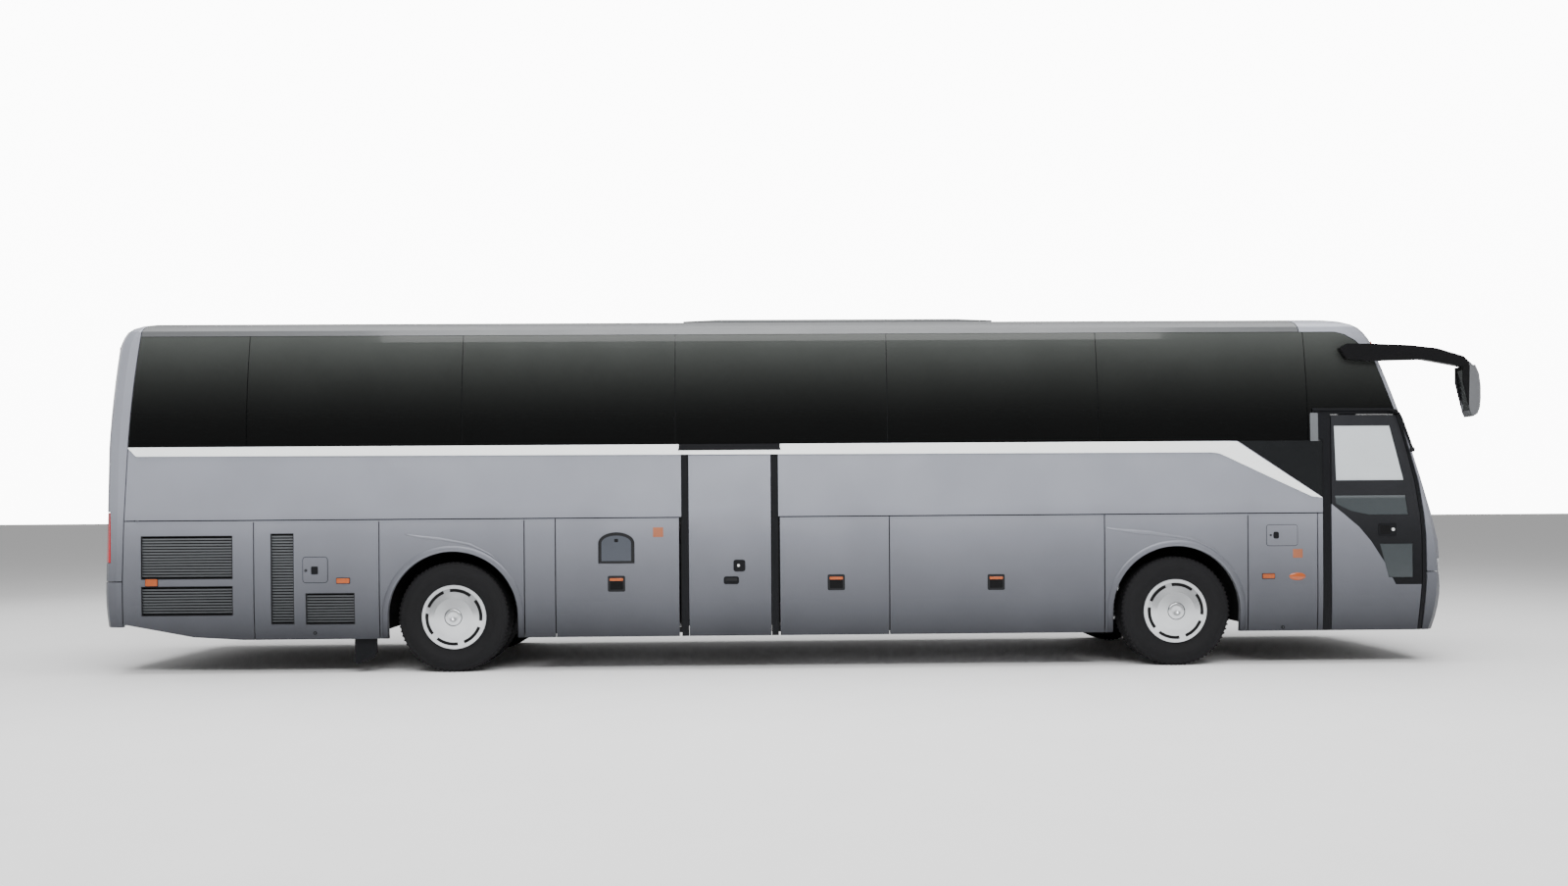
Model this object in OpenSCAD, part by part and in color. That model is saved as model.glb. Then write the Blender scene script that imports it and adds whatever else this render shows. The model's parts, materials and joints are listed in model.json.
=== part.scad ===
// Single-deck coach, 2 axles, doors on its right side.
// Millimetres. +X is forward, +Y is the left side, +Z is up, z = 0 is the ground.
// The origin lies on the ground, midway between the tail and the tips of the mirrors.

/* [Body] */
// Length of the body, tail to nose
body_l = 12700; // [12200:50:13200]
// Width over the side panels
body_w = 2550; // [2450:10:2600]
// Height of the roof's crown above the ground
crown_z = 3325; // [3250:5:3600]
// Height of the lower edge of the skirts
sill_z = 318; // [290:2:360]
// Height of the seam between skirts and waist panels
seam_z = 1420; // [1400:1:1450]
// Height of the belt line, where the side glass starts
belt_z = 2098; // [2060:2:2150]
// Height of the top of the side glass
cant_z = 3130; // [3050:10:3180]
// Thickness of the walls, caps, roof, flaps and door leaves
wall_t = 45; // [38:1:52]
// Open joint between two body panels
panel_gap = 10; // [8:0.5:14]
// Thickness of the bonded side glass
glass_t = 10; // [6:0.5:14]

/* [Running gear] */
// Distance between the axles
wheelbase = 6730; // [6400:10:6900]
// Front axle to nose
front_overhang = 2660; // [2500:2:2750]
// Outer radius of a tyre
tyre_r = 510; // [480:1:525]
// Width of a tyre
tyre_w = 285; // [260:1:300]
// Radius of the rim's bead seat
rim_r = 286; // [270:1:290]
// Gap between the twin tyres
twin_gap = 60; // [40:1:80]
// Body side to the outer face of the tyres
wheel_inset = 26; // [15:1:60]
// Radius of the wheel arches
arch_r = 598; // [580:1:620]
// Radius of a stub axle and of the hub bore's shaft
stub_r = 45; // [30:1:60]
// Radius of a kingpin
kingpin_r = 25; // [18:1:32]
// Wheel centre plane to kingpin
kingpin_offset = 165; // [150:1:190]

/* [Doors] */
// Door post, rear edge of the front doorway, behind the nose
entry_back = 1194; // [1150:1:1250]
// Width of the front door leaf at its foot
entry_w = 850; // [780:1:860]
// Top of the front door leaf
entry_top_z = 2335; // [2250:5:2350]
// Centre of the middle door, behind the front axle
mid_back = 4168; // [4100:1:4230]
// Width of the middle door leaf
mid_w = 760; // [700:1:780]
// Top of the middle door leaf
mid_top_z = 1997; // [1950:1:2010]
// Width of the black frame beside a door leaf
frame_w = 68; // [50:1:75]
// Length of a door's swing arm
door_arm = 360; // [320:5:380]
// Radius of a door's turning post
post_r = 20; // [14:1:26]

/* [Mirrors] */
// How far the mirrors reach ahead of the nose
mirror_out = 215; // [200:5:260]
// Lowest point of a mirror head
mirror_low_z = 2313; // [2280:1:2400]

/* [Cabin] */
// Height of the passengers' floor
floor_z = 1390; // [1370:5:1400]
// Height of the luggage bay's floor
bay_z = 430; // [410:5:460]
// Distance between two rows of seats
seat_pitch = 800; // [760:5:830]
// Number of seat rows on each side
seat_rows = 12; // [8:1:13]

/* [Hidden] */
$fn = 48;

// Seats of pieces that meet without touching
seat_gap = 0.3;
// Radial play of a shaft in its bore
shaft_play = 0.05;

// Places along the coach
total_l = body_l + mirror_out;
nose_x = total_l / 2 - mirror_out;
tail_x = -total_l / 2;
front_axle_x = nose_x - front_overhang;
rear_axle_x = front_axle_x - wheelbase;
entry_x = nose_x - entry_back;
mid_x = front_axle_x - mid_back;
post_w = frame_w + 20;
arch_half = arch_r + 76;
half_body = body_w / 2;

// Colours
silver = [0.56, 0.57, 0.61];
black_paint = [0.06, 0.06, 0.065];
dark_glass = [0.09, 0.1, 0.1];
rubber_black = [0.035, 0.035, 0.04];
steel_grey = [0.3, 0.3, 0.32];
chrome_grey = [0.75, 0.77, 0.78];
seat_blue = [0.12, 0.13, 0.2];
lamp_red = [0.6, 0.05, 0.06];
lamp_clear = [0.85, 0.87, 0.9];

// ---- The body's outer surface ----

// Height at which the nose reaches furthest
nose_z = 760;
// Height at which the windscreen's lean starts, and how fast it grows
lean_z = 1150;
screen_lean = 0.105;
// Depth and squareness of the rounded front and rear corners, seen from above
front_corner = 300;
rear_corner = 230;
squareness = 3;
// Height at which the roof's front and rear roundings start, and their lengths
round_z = cant_z - 130;
front_round = 450;
rear_round = 300;
// Height at which the lower flanks start to tuck in, and by how much
tuck_z = nose_z;
tuck = 20;
// Inward curve of the side glass at the cant rail
tumblehome = 105;
// Squareness of the roof's section
roof_square = 2.6;

// Share of the roof's rounding reached at height z
function rounding(z) = let(u = min(1, max(0, (z - round_z) / (crown_z - round_z)))) 1 - sqrt(1 - u * u);

// Heights of the rings and knees that every outer surface shares
levels = [sill_z, sill_z + 110, sill_z + 220, sill_z + 330, nose_z, 960, lean_z, 1420, 1750, belt_z, 2240, 2390,
  2540, 2700, 2850, round_z, round_z + 65, cant_z];

// The curves of the nose, tail and flanks, straight between those heights
function nose_curve(z) = nose_x
  - 0.0004 * pow(max(0, nose_z - z), 2)
  - 0.00012 * pow(min(lean_z, max(nose_z, z)) - nose_z, 2)
  - screen_lean * pow(max(0, min(z, round_z) - lean_z), 1.145)
  - 0.25 * max(0, z - round_z)
  - front_round * rounding(z);
function tail_curve(z) = tail_x
  + 0.0002 * pow(max(0, nose_z - z), 2)
  + 0.028 * max(0, z - nose_z)
  + 0.042 * max(0, z - belt_z)
  + rear_round * rounding(z);
function flank_curve(z) = half_body
  - tuck * pow(max(0, tuck_z - z) / (tuck_z - sill_z), 2)
  - tumblehome * pow(max(0, z - belt_z) / (cant_z - belt_z), 2);
nose_line = [for (z = levels) [z, nose_curve(z)]];
tail_line = [for (z = levels) [z, tail_curve(z)]];
flank_line = [for (z = levels) [z, flank_curve(z)]];
function nose_at(z) = z <= cant_z ? lookup(z, nose_line) : nose_curve(z);
function tail_at(z) = z <= cant_z ? lookup(z, tail_line) : tail_curve(z);
function half_w(z) = z <= cant_z ? lookup(z, flank_line)
  : (half_body - tumblehome) * pow(1 - pow((z - cant_z) / (crown_z - cant_z), roof_square), 1 / roof_square);

// A quarter of the plan outline: a rounded corner of that depth and half width
function corner(depth, width, angles) =
  [for (a = angles) [depth * pow(sin(a), 2 / squareness), width * pow(cos(a), 2 / squareness)]];

turn_in = [0, 12, 24, 36, 48, 60, 72, 82];

// The outline at height z around one end, from the right side at x0 to the left side at x0
function front_ring(z, inset, x0) = let(
    w = half_w(z) - inset,
    c = corner(front_corner - inset / 2, w, turn_in),
    x = nose_at(z) - front_corner - inset / 2)
  concat([[x0, -w, z]], [for (p = c) [x + p[0], -p[1], z]],
    [[x + front_corner - inset / 2, 0, z]],
    [for (i = [len(c) - 1:-1:0]) [x + c[i][0], c[i][1], z]], [[x0, w, z]]);

function rear_ring(z, inset, x0) = let(
    w = half_w(z) - inset,
    c = corner(rear_corner - inset / 2, w, turn_in),
    x = tail_at(z) + rear_corner + inset / 2)
  concat([[x0, w, z]], [for (p = c) [x - p[0], p[1], z]],
    [[x - rear_corner + inset / 2, 0, z]],
    [for (i = [len(c) - 1:-1:0]) [x - c[i][0], -c[i][1], z]], [[x0, -w, z]]);

// A closed skin between rings of outer and inner points. Capped skins close over the top.
module skin(outer, inner, capped = false) {
  n = len(outer[0]);
  m = len(outer);
  function at(s, j, i) = s * n * m + j * n + i;
  sides = [for (j = [0:m - 2]) for (i = [0:n - 2])
    let(a = at(0, j, i), b = at(0, j, i + 1), c = at(0, j + 1, i + 1), d = at(0, j + 1, i), k = n * m)
    each [[a, d, c], [a, c, b], [a + k, c + k, d + k], [a + k, b + k, c + k]]];
  foot = [for (i = [0:n - 2])
    let(a = at(0, 0, i), b = at(0, 0, i + 1), k = n * m)
    each [[a, b, b + k], [a, b + k, a + k]]];
  head = capped
    ? [[for (i = [n - 1:-1:0]) at(0, m - 1, i)], [for (i = [0:n - 1]) at(1, m - 1, i)]]
    : [for (i = [0:n - 2])
        let(a = at(0, m - 1, i), b = at(0, m - 1, i + 1), k = n * m)
        each [[a, b + k, b], [a, a + k, b + k]]];
  ends = [for (j = [0:m - 2])
    let(a = at(0, j, 0), d = at(0, j + 1, 0), e = at(0, j, n - 1), h = at(0, j + 1, n - 1), k = n * m)
    each [[a + k, d + k, d], [a + k, d, a], [e + k, h, h + k], [e + k, e, h]]];
  bridge = capped
    ? let(a = at(0, m - 1, 0), e = at(0, m - 1, n - 1), k = n * m) [[a, a + k, e + k], [a, e + k, e]]
    : [];
  polyhedron(points = [for (s = [outer, inner]) for (r = s) each r],
    faces = concat(sides, foot, head, ends, bridge), convexity = 10);
}

// Heights of the rings on walls and on the roof
roof_turns = [0, 0.25, 0.45, 0.62, 0.77, 0.88, 0.95];
function wall_levels(z0, z1) = [z0, each [for (z = levels) if (z > z0 + 8 && z < z1 - 8) z], z1];
function roof_z(u, inset) = cant_z + (crown_z - inset - cant_z) * u;

module front_skin(z0, z1, inset, t, x0) {
  zs = wall_levels(z0, z1);
  skin([for (z = zs) front_ring(z, inset, x0)], [for (z = zs) front_ring(z, inset + t, x0)]);
}

module rear_skin(z0, z1, inset, t, x0) {
  zs = wall_levels(z0, z1);
  skin([for (z = zs) rear_ring(z, inset, x0)], [for (z = zs) rear_ring(z, inset + t, x0)]);
}

// The walls and the roof of one end in one piece, from z0 up
module front_hood(z0, t, x0) {
  zs = concat(wall_levels(z0, cant_z), [for (u = roof_turns) if (u > 0) roof_z(u, 0)]);
  skin([for (z = zs) front_ring(z, 0, x0)],
    [for (z = zs) let(r = front_ring(z, t, x0)) [for (p = r) [p[0], p[1], z > cant_z ? low_roof(z, t) : z]]],
    capped = true);
}

module rear_hood(z0, t, x0) {
  zs = concat(wall_levels(z0, cant_z), [for (u = roof_turns) if (u > 0) roof_z(u, 0)]);
  skin([for (z = zs) rear_ring(z, 0, x0)],
    [for (z = zs) let(r = rear_ring(z, t, x0)) [for (p = r) [p[0], p[1], z > cant_z ? low_roof(z, t) : z]]],
    capped = true);
}

// The inner roof lies t lower at the crown
function low_roof(z, t) = cant_z + (z - cant_z) * (crown_z - t - cant_z) / (crown_z - cant_z);

// ---- Straight side walls ----

// The side's line in Y and Z, inset from the outer surface
function side_line(z0, z1, inset) = [for (z = wall_levels(z0, z1)) [half_w(z) - inset, z]];

// A slab of a side wall between x0 and x1. side is -1 for the right and 1 for the left.
module side_slab(side, x0, x1, z0, z1, inset, t) {
  outer = side_line(z0, z1, inset);
  inner = side_line(z0, z1, inset + t);
  line = concat(outer, [for (i = [len(inner) - 1:-1:0]) inner[i]]);
  translate([x0, 0, 0]) rotate([90, 0, 90]) linear_extrude(x1 - x0)
    polygon([for (p = line) [side * p[0], p[1]]]);
}

// A shape drawn in X and Z, cut through one side of the body
module through_side(side, depth = 700) {
  translate([0, side < 0 ? -half_body + depth : half_body + 60, 0]) rotate([90, 0, 0])
    linear_extrude(depth + 60) children();
}

// A shape drawn in Y and Z, cut from x0 to x1
module through_end(x0, x1) {
  translate([x0, 0, 0]) rotate([90, 0, 90]) linear_extrude(x1 - x0) children();
}

module rounded(x0, x1, z0, z1, r) {
  polygon([for (c = [[x1 - r, z1 - r, 0], [x0 + r, z1 - r, 90], [x0 + r, z0 + r, 180], [x1 - r, z0 + r, 270]])
    for (a = [0, 30, 60, 90]) [c[0] + r * cos(c[2] + a), c[1] + r * sin(c[2] + a)]]);
}

module box(x0, x1, y0, y1, z0, z1) {
  translate([x0, y0, z0]) cube([x1 - x0, y1 - y0, z1 - z0]);
}

// The same thing on the right and the left
module both_sides() {
  children();
  mirror([0, 1, 0]) children();
}

// ---- Joints between the side panels ----

// Top of the rear bumper
rear_low = 863;
// Edge between the side panels and the rear cap, ahead of the tail: it leans as it rises
seam_lean = [[0, 284], [rear_low, 284], [seam_z, 302], [belt_z, 344], [4000, 481]];
function rear_seam_x(z) = tail_x + lookup(z, seam_lean);
rear_seam = [for (p = seam_lean) [tail_x + p[1], p[0]]];

// Joints along the right and left skirts, from the rear
engine_joint = rear_axle_x - 1822;
arch_rear = [rear_axle_x - arch_half, rear_axle_x + arch_half - 14];
narrow_end = arch_rear[1] + 287;
mid_frame = [mid_x - mid_w / 2 - frame_w, mid_x + mid_w / 2 + frame_w];
flap_joint = front_axle_x - arch_half - 2012;
arch_front = [front_axle_x - arch_half, front_axle_x + arch_half];
post_x = entry_x - frame_w - 12;
service_end = post_x - 55;
flap_rear = [narrow_end, mid_frame[0] - 20];
flap_middle_right = [mid_frame[1] + 12, flap_joint];
flap_middle_left = [mid_frame[0] - 20, flap_joint];
flap_front = [flap_joint, arch_front[0]];

// Front edge of the front door leaf, drawn in X and Z, and the jamb ahead of it
door_front = [[entry_x + entry_w - 40, sill_z - 1], [entry_x + entry_w, 800], [entry_x + entry_w - 2, 1200],
  [entry_x + entry_w - 16, 1400], [entry_x + entry_w - 64, 1720], [entry_x + entry_w - 195, 2233],
  [entry_x + entry_w - 226, entry_top_z + 1]];
jamb_gap = 9;
jamb_w = 42;
// Lower edge of the A-pillar's painted strip, from the door's corner up to the roof
pillar = [[entry_x + 609, entry_top_z + 55], [entry_x + 446, 2862], [entry_x + 381, 2945],
  [entry_x + 270, 3050], [entry_x + 178, 3106], [entry_x + 90, cant_z - 1]];
roof_joint_x = entry_x - 250;

// Everything behind the front mask: the mask is what is left ahead of it
module behind_mask(extra) {
  polygon(concat([[door_front[0][0] + jamb_gap + jamb_w + extra, 0]],
    [for (p = door_front) [p[0] + jamb_gap + jamb_w + extra, p[1]]],
    [[door_front[6][0] + jamb_gap + jamb_w + extra, entry_top_z + 54]],
    [for (p = pillar) [p[0] + extra, p[1]]],
    [[entry_x + 90 + extra, cant_z], [roof_joint_x + extra, cant_z],
     [roof_joint_x - 40 + extra, crown_z + 50], [-8000, crown_z + 50], [-8000, 0]]));
}

// Everything behind the rear seam, or ahead of it
module behind_rear_seam() {
  polygon([[-9000, 0], each [for (p = rear_seam) [p[0] + panel_gap, p[1]]], [-9000, 4000]]);
}
module ahead_of_rear_seam() {
  polygon([[9000, 0], each [for (p = rear_seam) p], [9000, 4000]]);
}

// ---- Structure ----

// Outer face of the rails, inside the twin tyres
rail_clear = 119;
rail_y = half_body - wheel_inset - 2 * tyre_w - twin_gap - rail_clear;
rail_w = 90;
// Inner wall of the stairwells
well_in = rail_y - 70;
rail_z = [700, 860];
low_rail_z = [340, 400];
frame_top = floor_z - 90;
// Outer face of the structure behind the panels, and its depth
side_in = half_body - wall_t - seat_gap;
post_d = 45;
floor_half = side_in - post_d - seat_gap;
front_rails = [arch_front[0] - 30, nose_x - 420];
rear_rails = [tail_x + 420, arch_rear[1] + 30];
// Places of the air springs along the coach
spring_places = [front_axle_x + 190, rear_axle_x - 250, rear_axle_x + 250];

module chassis_frame() color(steel_grey) {
  low = [rear_rails[1] - rail_w, front_rails[0] + rail_w];
  both_sides() {
    for (r = [front_rails, rear_rails]) box(r[0], r[1], rail_y - rail_w, rail_y, rail_z[0], rail_z[1]);
    // Low rails under the luggage bay, and the legs that carry them
    box(low[0], low[1], rail_y - rail_w, rail_y, low_rail_z[0], low_rail_z[1]);
    for (x = [low[0], low[1] - rail_w])
      box(x, x + rail_w, rail_y - rail_w, rail_y, low_rail_z[0], rail_z[1]);
    // Posts up to the floor beams
    for (x = [front_axle_x + 420, rear_rails[0] + 200, rear_axle_x - 420])
      box(x, x + 70, rail_y - rail_w + 5, rail_y - 5, rail_z[1] - 1, frame_top);
    // Air spring seats
    for (x = spring_places) box(x - 90, x + 90, rail_y - rail_w - 5, rail_y + 40, rail_z[0] - 15, rail_z[0] + 20);
    // Outriggers to the body's side posts
    for (x = outriggers) box(x - 25, x + 25, rail_y - 10, floor_half, low_rail_z[0] + 5, low_rail_z[1]);
    for (x = [engine_joint, service_end]) box(x - 25, x + 25, rail_y - 10, floor_half, 720, 780);
  }
  for (x = [front_rails[0] + 2, front_axle_x - 330, front_axle_x + 320, front_axle_x + 1000, front_rails[1] - 82,
      rear_rails[0] + 2, rear_axle_x + 420, rear_rails[1] - 82])
    box(x, x + 80, 1 - rail_y, rail_y - 1, cross_z[0], cross_z[1]);
  for (x = outriggers) box(x - 25, x + 25, 1 - rail_y, rail_y - 1, low_rail_z[0] + 5, low_rail_z[1] - 4);
  both_sides() for (x = [front_axle_x + 760, rear_axle_x - 640]) jack_pad(x);
}
outriggers = [narrow_end, mid_frame[1] + 30, flap_joint, arch_front[0] - 15];

// Towing lugs with a vertical pin bore, bolted under the end crossmembers
cross_z = [740, 840];
tow_r = 21;
tow_t = 40;
tow_z = 480;
tow_reach = 160;
module tow_lug(x, way) {
  difference() {
    union() {
      box(min(x, x + way * tow_reach), max(x, x + way * tow_reach), -50, 50, tow_z, tow_z + tow_t);
      translate([x + way * tow_reach, 0, tow_z]) cylinder(r = 50, h = tow_t);
      box(min(x, x - way * 60), max(x, x - way * 60), -50, 50, tow_z, cross_z[0] - seat_gap);
    }
    translate([x + way * tow_reach, 0, tow_z - 1]) cylinder(r = tow_r, h = tow_t + 2);
  }
}
module tow_lugs() color(steel_grey) {
  tow_lug(front_rails[1] - 5, 1);
  tow_lug(rear_rails[0] + 5, -1);
}

// Pad under a rail where a jack or a stand goes
pad_size = 110;
pad_z = 660;
module jack_pad(x) {
  box(x - pad_size / 2, x + pad_size / 2, rail_y - rail_w - 10, rail_y - rail_w - 10 + pad_size, pad_z, rail_z[0] + 1);
}

// A post or rail behind the side panels, following their inner face
module side_post(side, x0, x1, z0, z1) difference() {
  side_slab(side, x0, x1, z0, z1, wall_t + seat_gap, post_d + 25);
  box(x0 - 1, x1 + 1, post_d - side_in, side_in - post_d, z0 - 1, z1 + 1);
}

// Tubes behind the side panels, the hoops at the roof's ends and the rims around the rear openings
module body_frame() color(steel_grey) {
  waist = [seam_z - 45, seam_z + 45];
  low = sill_z + 30;
  for (side = [-1, 1]) {
    for (x = [[engine_joint, 480], [arch_rear[0] - 12, low], [arch_rear[1] + 15, low], [narrow_end, low],
        [flap_joint, low], [arch_front[0] - 15, low], [arch_front[1] + 15, low], [service_end, low]])
      side_post(side, x[0] - 25, x[0] + 25, x[1], waist[0] + 1);
    if (side > 0) side_post(side, mid_frame[0] - 45, mid_frame[0] + 5, low, waist[0] + 1);
    side_post(side, narrow_end, side > 0 ? flap_joint : mid_frame[0] + 40, low, low + 50);
    side_post(side, side > 0 ? flap_joint : mid_frame[1] - 40, arch_front[0], low, low + 50);
    if (side > 0) side_post(side, tail_x + 420, post_x + 20, waist[0], waist[1]);
  }
  side_post(-1, tail_x + 420, mid_frame[0] + 40, waist[0], waist[1]);
  side_post(-1, mid_frame[1] - 40, post_x + 20, waist[0], waist[1]);
  // Posts beside the doorways
  side_post(-1, mid_frame[0] - 10, mid_frame[0] + 40, low, belt_z - 20);
  side_post(-1, mid_frame[1] - 40, mid_frame[1] + 10, low, belt_z - 20);
  side_post(-1, post_x + 10, post_x + 50, low, entry_top_z + 5);
  side_post(1, post_x - 30, post_x + 20, low, belt_z - 20);
  // Hoops under the joints between the roof and the two caps
  difference() {
    hoop([for (z = [900, belt_z, 4000]) [rear_seam_x(z) - 35, z]],
      [for (z = [900, belt_z, 4000]) [rear_seam_x(z) + 60, z]], 900);
    rear_hood(880, wall_t + seat_gap, tail_x + 800);
  }
  difference() {
    hoop([[roof_joint_x - 60, 2300], [roof_joint_x - 100, crown_z + 50]],
      [[roof_joint_x + 45, 2300], [roof_joint_x + 5, crown_z + 50]], cant_z - 60);
    front_hood(cant_z - 100, wall_t + seat_gap, roof_joint_x - 200);
  }
  rear_rims();
  front_bar();
}

// Curved bar behind the joint between bumper and mask, on two arms ahead of the rails
bar_z = [770, 900];
module front_bar() {
  intersection() {
    front_skin(bar_z[0], bar_z[1], wall_t + seat_gap, 30, entry_x + 500);
    box(nose_x - 420, nose_x, -980, 980, bar_z[0] - 1, bar_z[1] + 1);
  }
  both_sides() box(front_rails[1] + seat_gap, nose_x - 95, rail_y - rail_w + 10, rail_y - 10, bar_z[0] + 1, rail_z[1] - 5);
}

// An arch of tube inside the walls and the roof, between two leaning lines in X and Z
module hoop(back, ahead, z0) {
  intersection() {
    translate([tail_x, 0, 0]) rotate([90, 0, 90]) linear_extrude(body_l) difference() {
      section(wall_t + seat_gap, z0);
      section(wall_t + 35, z0 - 1);
    }
    translate([0, body_w, 0]) rotate([90, 0, 0]) linear_extrude(2 * body_w)
      polygon(concat(back, [for (i = [len(ahead) - 1:-1:0]) ahead[i]]));
  }
}

roof_turns_full = [0, 0.25, 0.45, 0.62, 0.77, 0.88, 0.95, 0.985, 1];

// The body's section in Y and Z above z0, inset from its outer surface
module section(inset, z0) {
  walls = [for (z = wall_levels(z0, cant_z)) [half_w(z) - inset, z]];
  roof = [for (u = roof_turns_full) if (u > 0) let(z = roof_z(u, 0)) [max(0, half_w(z) - inset), low_roof(z, inset)]];
  right = concat(walls, roof);
  polygon(concat(right, [for (i = [len(right) - 1:-1:0]) [-right[i][0], right[i][1]]]));
}

// Rims behind the engine lid's opening, on which the lid rests
module rear_rims() {
  intersection() {
    rear_skin(lid_z[0] - 60, lid_z[1] + 60, wall_t + seat_gap, 25, tail_x + 500);
    through_end(tail_x - 100, tail_x + 400) difference() {
      lid_shape(45);
      lid_shape(-35);
    }
  }
}

module saloon_floor() color([0.35, 0.33, 0.31]) {
  difference() {
    box(tail_x + 380, entry_x - 320, -floor_half, floor_half, floor_z - 50, floor_z);
    // Stairwell of the middle door
    box(mid_frame[0] + 42, mid_frame[1] - 42, -floor_half - 1, -420, floor_z - 60, floor_z + 10);
  }
  // Beams below the floor
  for (x = [tail_x + 420, rear_axle_x - 420, rear_axle_x + 720, mid_frame[0] - 80, flap_joint, arch_front[0] - 80,
      front_axle_x + 420])
    box(x, x + 60, 1 - floor_half, floor_half - 1, frame_top + seat_gap, floor_z - 49);
}

module luggage_bay() color([0.4, 0.4, 0.41]) {
  x0 = arch_rear[1] + 40;
  x1 = arch_front[0] - 42;
  well = [mid_frame[0] + 42, mid_frame[1] - 42];
  difference() {
    box(x0, x1, -floor_half, floor_half, low_rail_z[1] + seat_gap, bay_z);
    box(well[0], well[1], -floor_half - 1, -well_in, bay_z - 40, bay_z + 1);
    both_sides() for (x = [rear_rails[1] - rail_w, front_rails[0]])
      box(x - 8, x + rail_w + 8, rail_y - rail_w - 8, rail_y + 8, 300, 900);
  }
  for (x = [x0, x1 - 20]) difference() {
    box(x, x + 20, -floor_half, floor_half, bay_z - 1, frame_top - 3);
    both_sides() box(x - 1, x + 21, rail_y - rail_w - 8, rail_y + 8, bay_z - 60, rail_z[1] + 8);
  }
  // Walls around the middle stairwell
  for (x = [well[0], well[1] - 20]) box(x, x + 20, -floor_half + 75, -429, bay_z - 1, frame_top - 3);
  box(well[0], well[1], -well_in, -well_in + 20, bay_z - 1, frame_top - 3);
}

// Arch liners around each wheel, with a closing wall above the rails
liner_r = arch_r + 42;
liner_t = 8;
module wheel_arches() color(rubber_black) both_sides() for (x = [front_axle_x, rear_axle_x]) {
  difference() {
    translate([x, -rail_y - 52, tyre_r + 12]) rotate([90, 0, 0]) linear_extrude(half_body - rail_y - 52) difference() {
      liner_shape(liner_r + liner_t);
      liner_shape(liner_r);
    }
    side_slab(-1, x - 700, x + 700, sill_z, seam_z, -20, wall_t + 20 + seat_gap);
  }
  translate([x, -rail_y - 52, tyre_r + 12]) rotate([90, 0, 0]) linear_extrude(liner_t) intersection() {
    liner_shape(liner_r + 1);
    translate([-1000, rail_z[1] + 20 - tyre_r - 12]) square([2000, 1000]);
  }
}
module liner_shape(r) {
  intersection() {
    circle(r = r);
    translate([-r, 0]) square([2 * r, r]);
  }
  translate([-r, -130]) square([2 * r, 131]);
}

// A flight of steps: each tread is a box down to the flight's foot
module flight(x0, x1, y_out, y_in, z0, z1, steps) {
  rise = (z1 - z0) / (steps + 1);
  going = (y_in - y_out) / steps;
  for (i = [0:steps - 1])
    box(x0, x1, y_out + going * i, y_in, z0 + rise * i - (i > 0 ? 1 : 0), z0 + rise * (i + 1));
}

platform_z = 900;
platform_x = [arch_front[1] + 60, nose_x - 480];
module entry_steps() color([0.16, 0.16, 0.17]) {
  // Middle stairwell, up to the saloon floor, notched over the low rail
  difference() {
    flight(mid_frame[0] + 42 + 20 + seat_gap, mid_frame[1] - 42 - 20 - seat_gap, -floor_half + 75, -well_in - seat_gap,
      340, floor_z - 62, 4);
    box(mid_frame[0], mid_frame[1], -rail_y - 5, -400, 300, low_rail_z[1] + seat_gap);
  }
  // Front entry up to the driver's platform
  flight(entry_x + 20, platform_x[1], -floor_half + 75, -rail_y - seat_gap, 340, platform_z, 2);
  difference() {
    box(platform_x[0], platform_x[1], -well_in, floor_half, rail_z[1] + seat_gap, platform_z);
    box(0, entry_x + 20, -floor_half, -rail_y, 0, platform_z + 1);
  }
  // Two steps from the platform to the saloon floor
  for (i = [0, 1])
    box(platform_x[0], entry_x - 60 - i * 130, -well_in, 330, platform_z - 1 + 163 * i, platform_z + 163 * (i + 1));
  box(platform_x[0], entry_x - 322, -floor_half + 40, floor_half, platform_z - 39, platform_z + 326);
}

// ---- Roof ----

hatch_l = 820;
hatch_w = 620;
hatch_x = [front_axle_x - 330, rear_axle_x - 420];
hatch_lip = 26;
hatch_rise = 26;
ac_l = 3000;
ac_w = 1500;
ac_x = mid_x + 1050;
ac_rise = 33;

module roof_shell() color(silver) difference() {
  intersection() {
    translate([tail_x, 0, 0]) rotate([90, 0, 90]) linear_extrude(body_l) difference() {
      section(0, cant_z - 1);
      section(wall_t, cant_z - 2);
      translate([-body_w, 0]) square([2 * body_w, cant_z]);
    }
    translate([0, body_w, 0]) rotate([90, 0, 0]) linear_extrude(2 * body_w)
      polygon([[rear_seam_x(cant_z - 10) + panel_gap, cant_z - 10], [roof_joint_x - panel_gap, cant_z - 10],
        [roof_joint_x - panel_gap, cant_z], [roof_joint_x - 40 - panel_gap, crown_z + 50],
        [rear_seam_x(crown_z + 50) + panel_gap, crown_z + 50]]);
  }
  for (x = hatch_x) box(x - hatch_l / 2, x + hatch_l / 2, -hatch_w / 2, hatch_w / 2, cant_z, crown_z + 50);
}

// Low cover of the cooling unit: its foot follows the crown
module roof_ac_cover() color(silver) difference() {
  hull() {
    box(ac_x - ac_l / 2, ac_x + ac_l / 2, -ac_w / 2, ac_w / 2, crown_z - 30, crown_z - 12);
    box(ac_x - ac_l / 2 + 350, ac_x + ac_l / 2 - 350, -ac_w / 2 + 90, ac_w / 2 - 90, crown_z, crown_z + 16);
    box(ac_x - ac_l / 2 + 1000, ac_x + ac_l / 2 - 1000, -ac_w / 2 + 260, ac_w / 2 - 260, crown_z, crown_z + ac_rise);
  }
  translate([tail_x, 0, seat_gap]) rotate([90, 0, 90]) linear_extrude(body_l) section(0, cant_z - 1);
}

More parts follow.
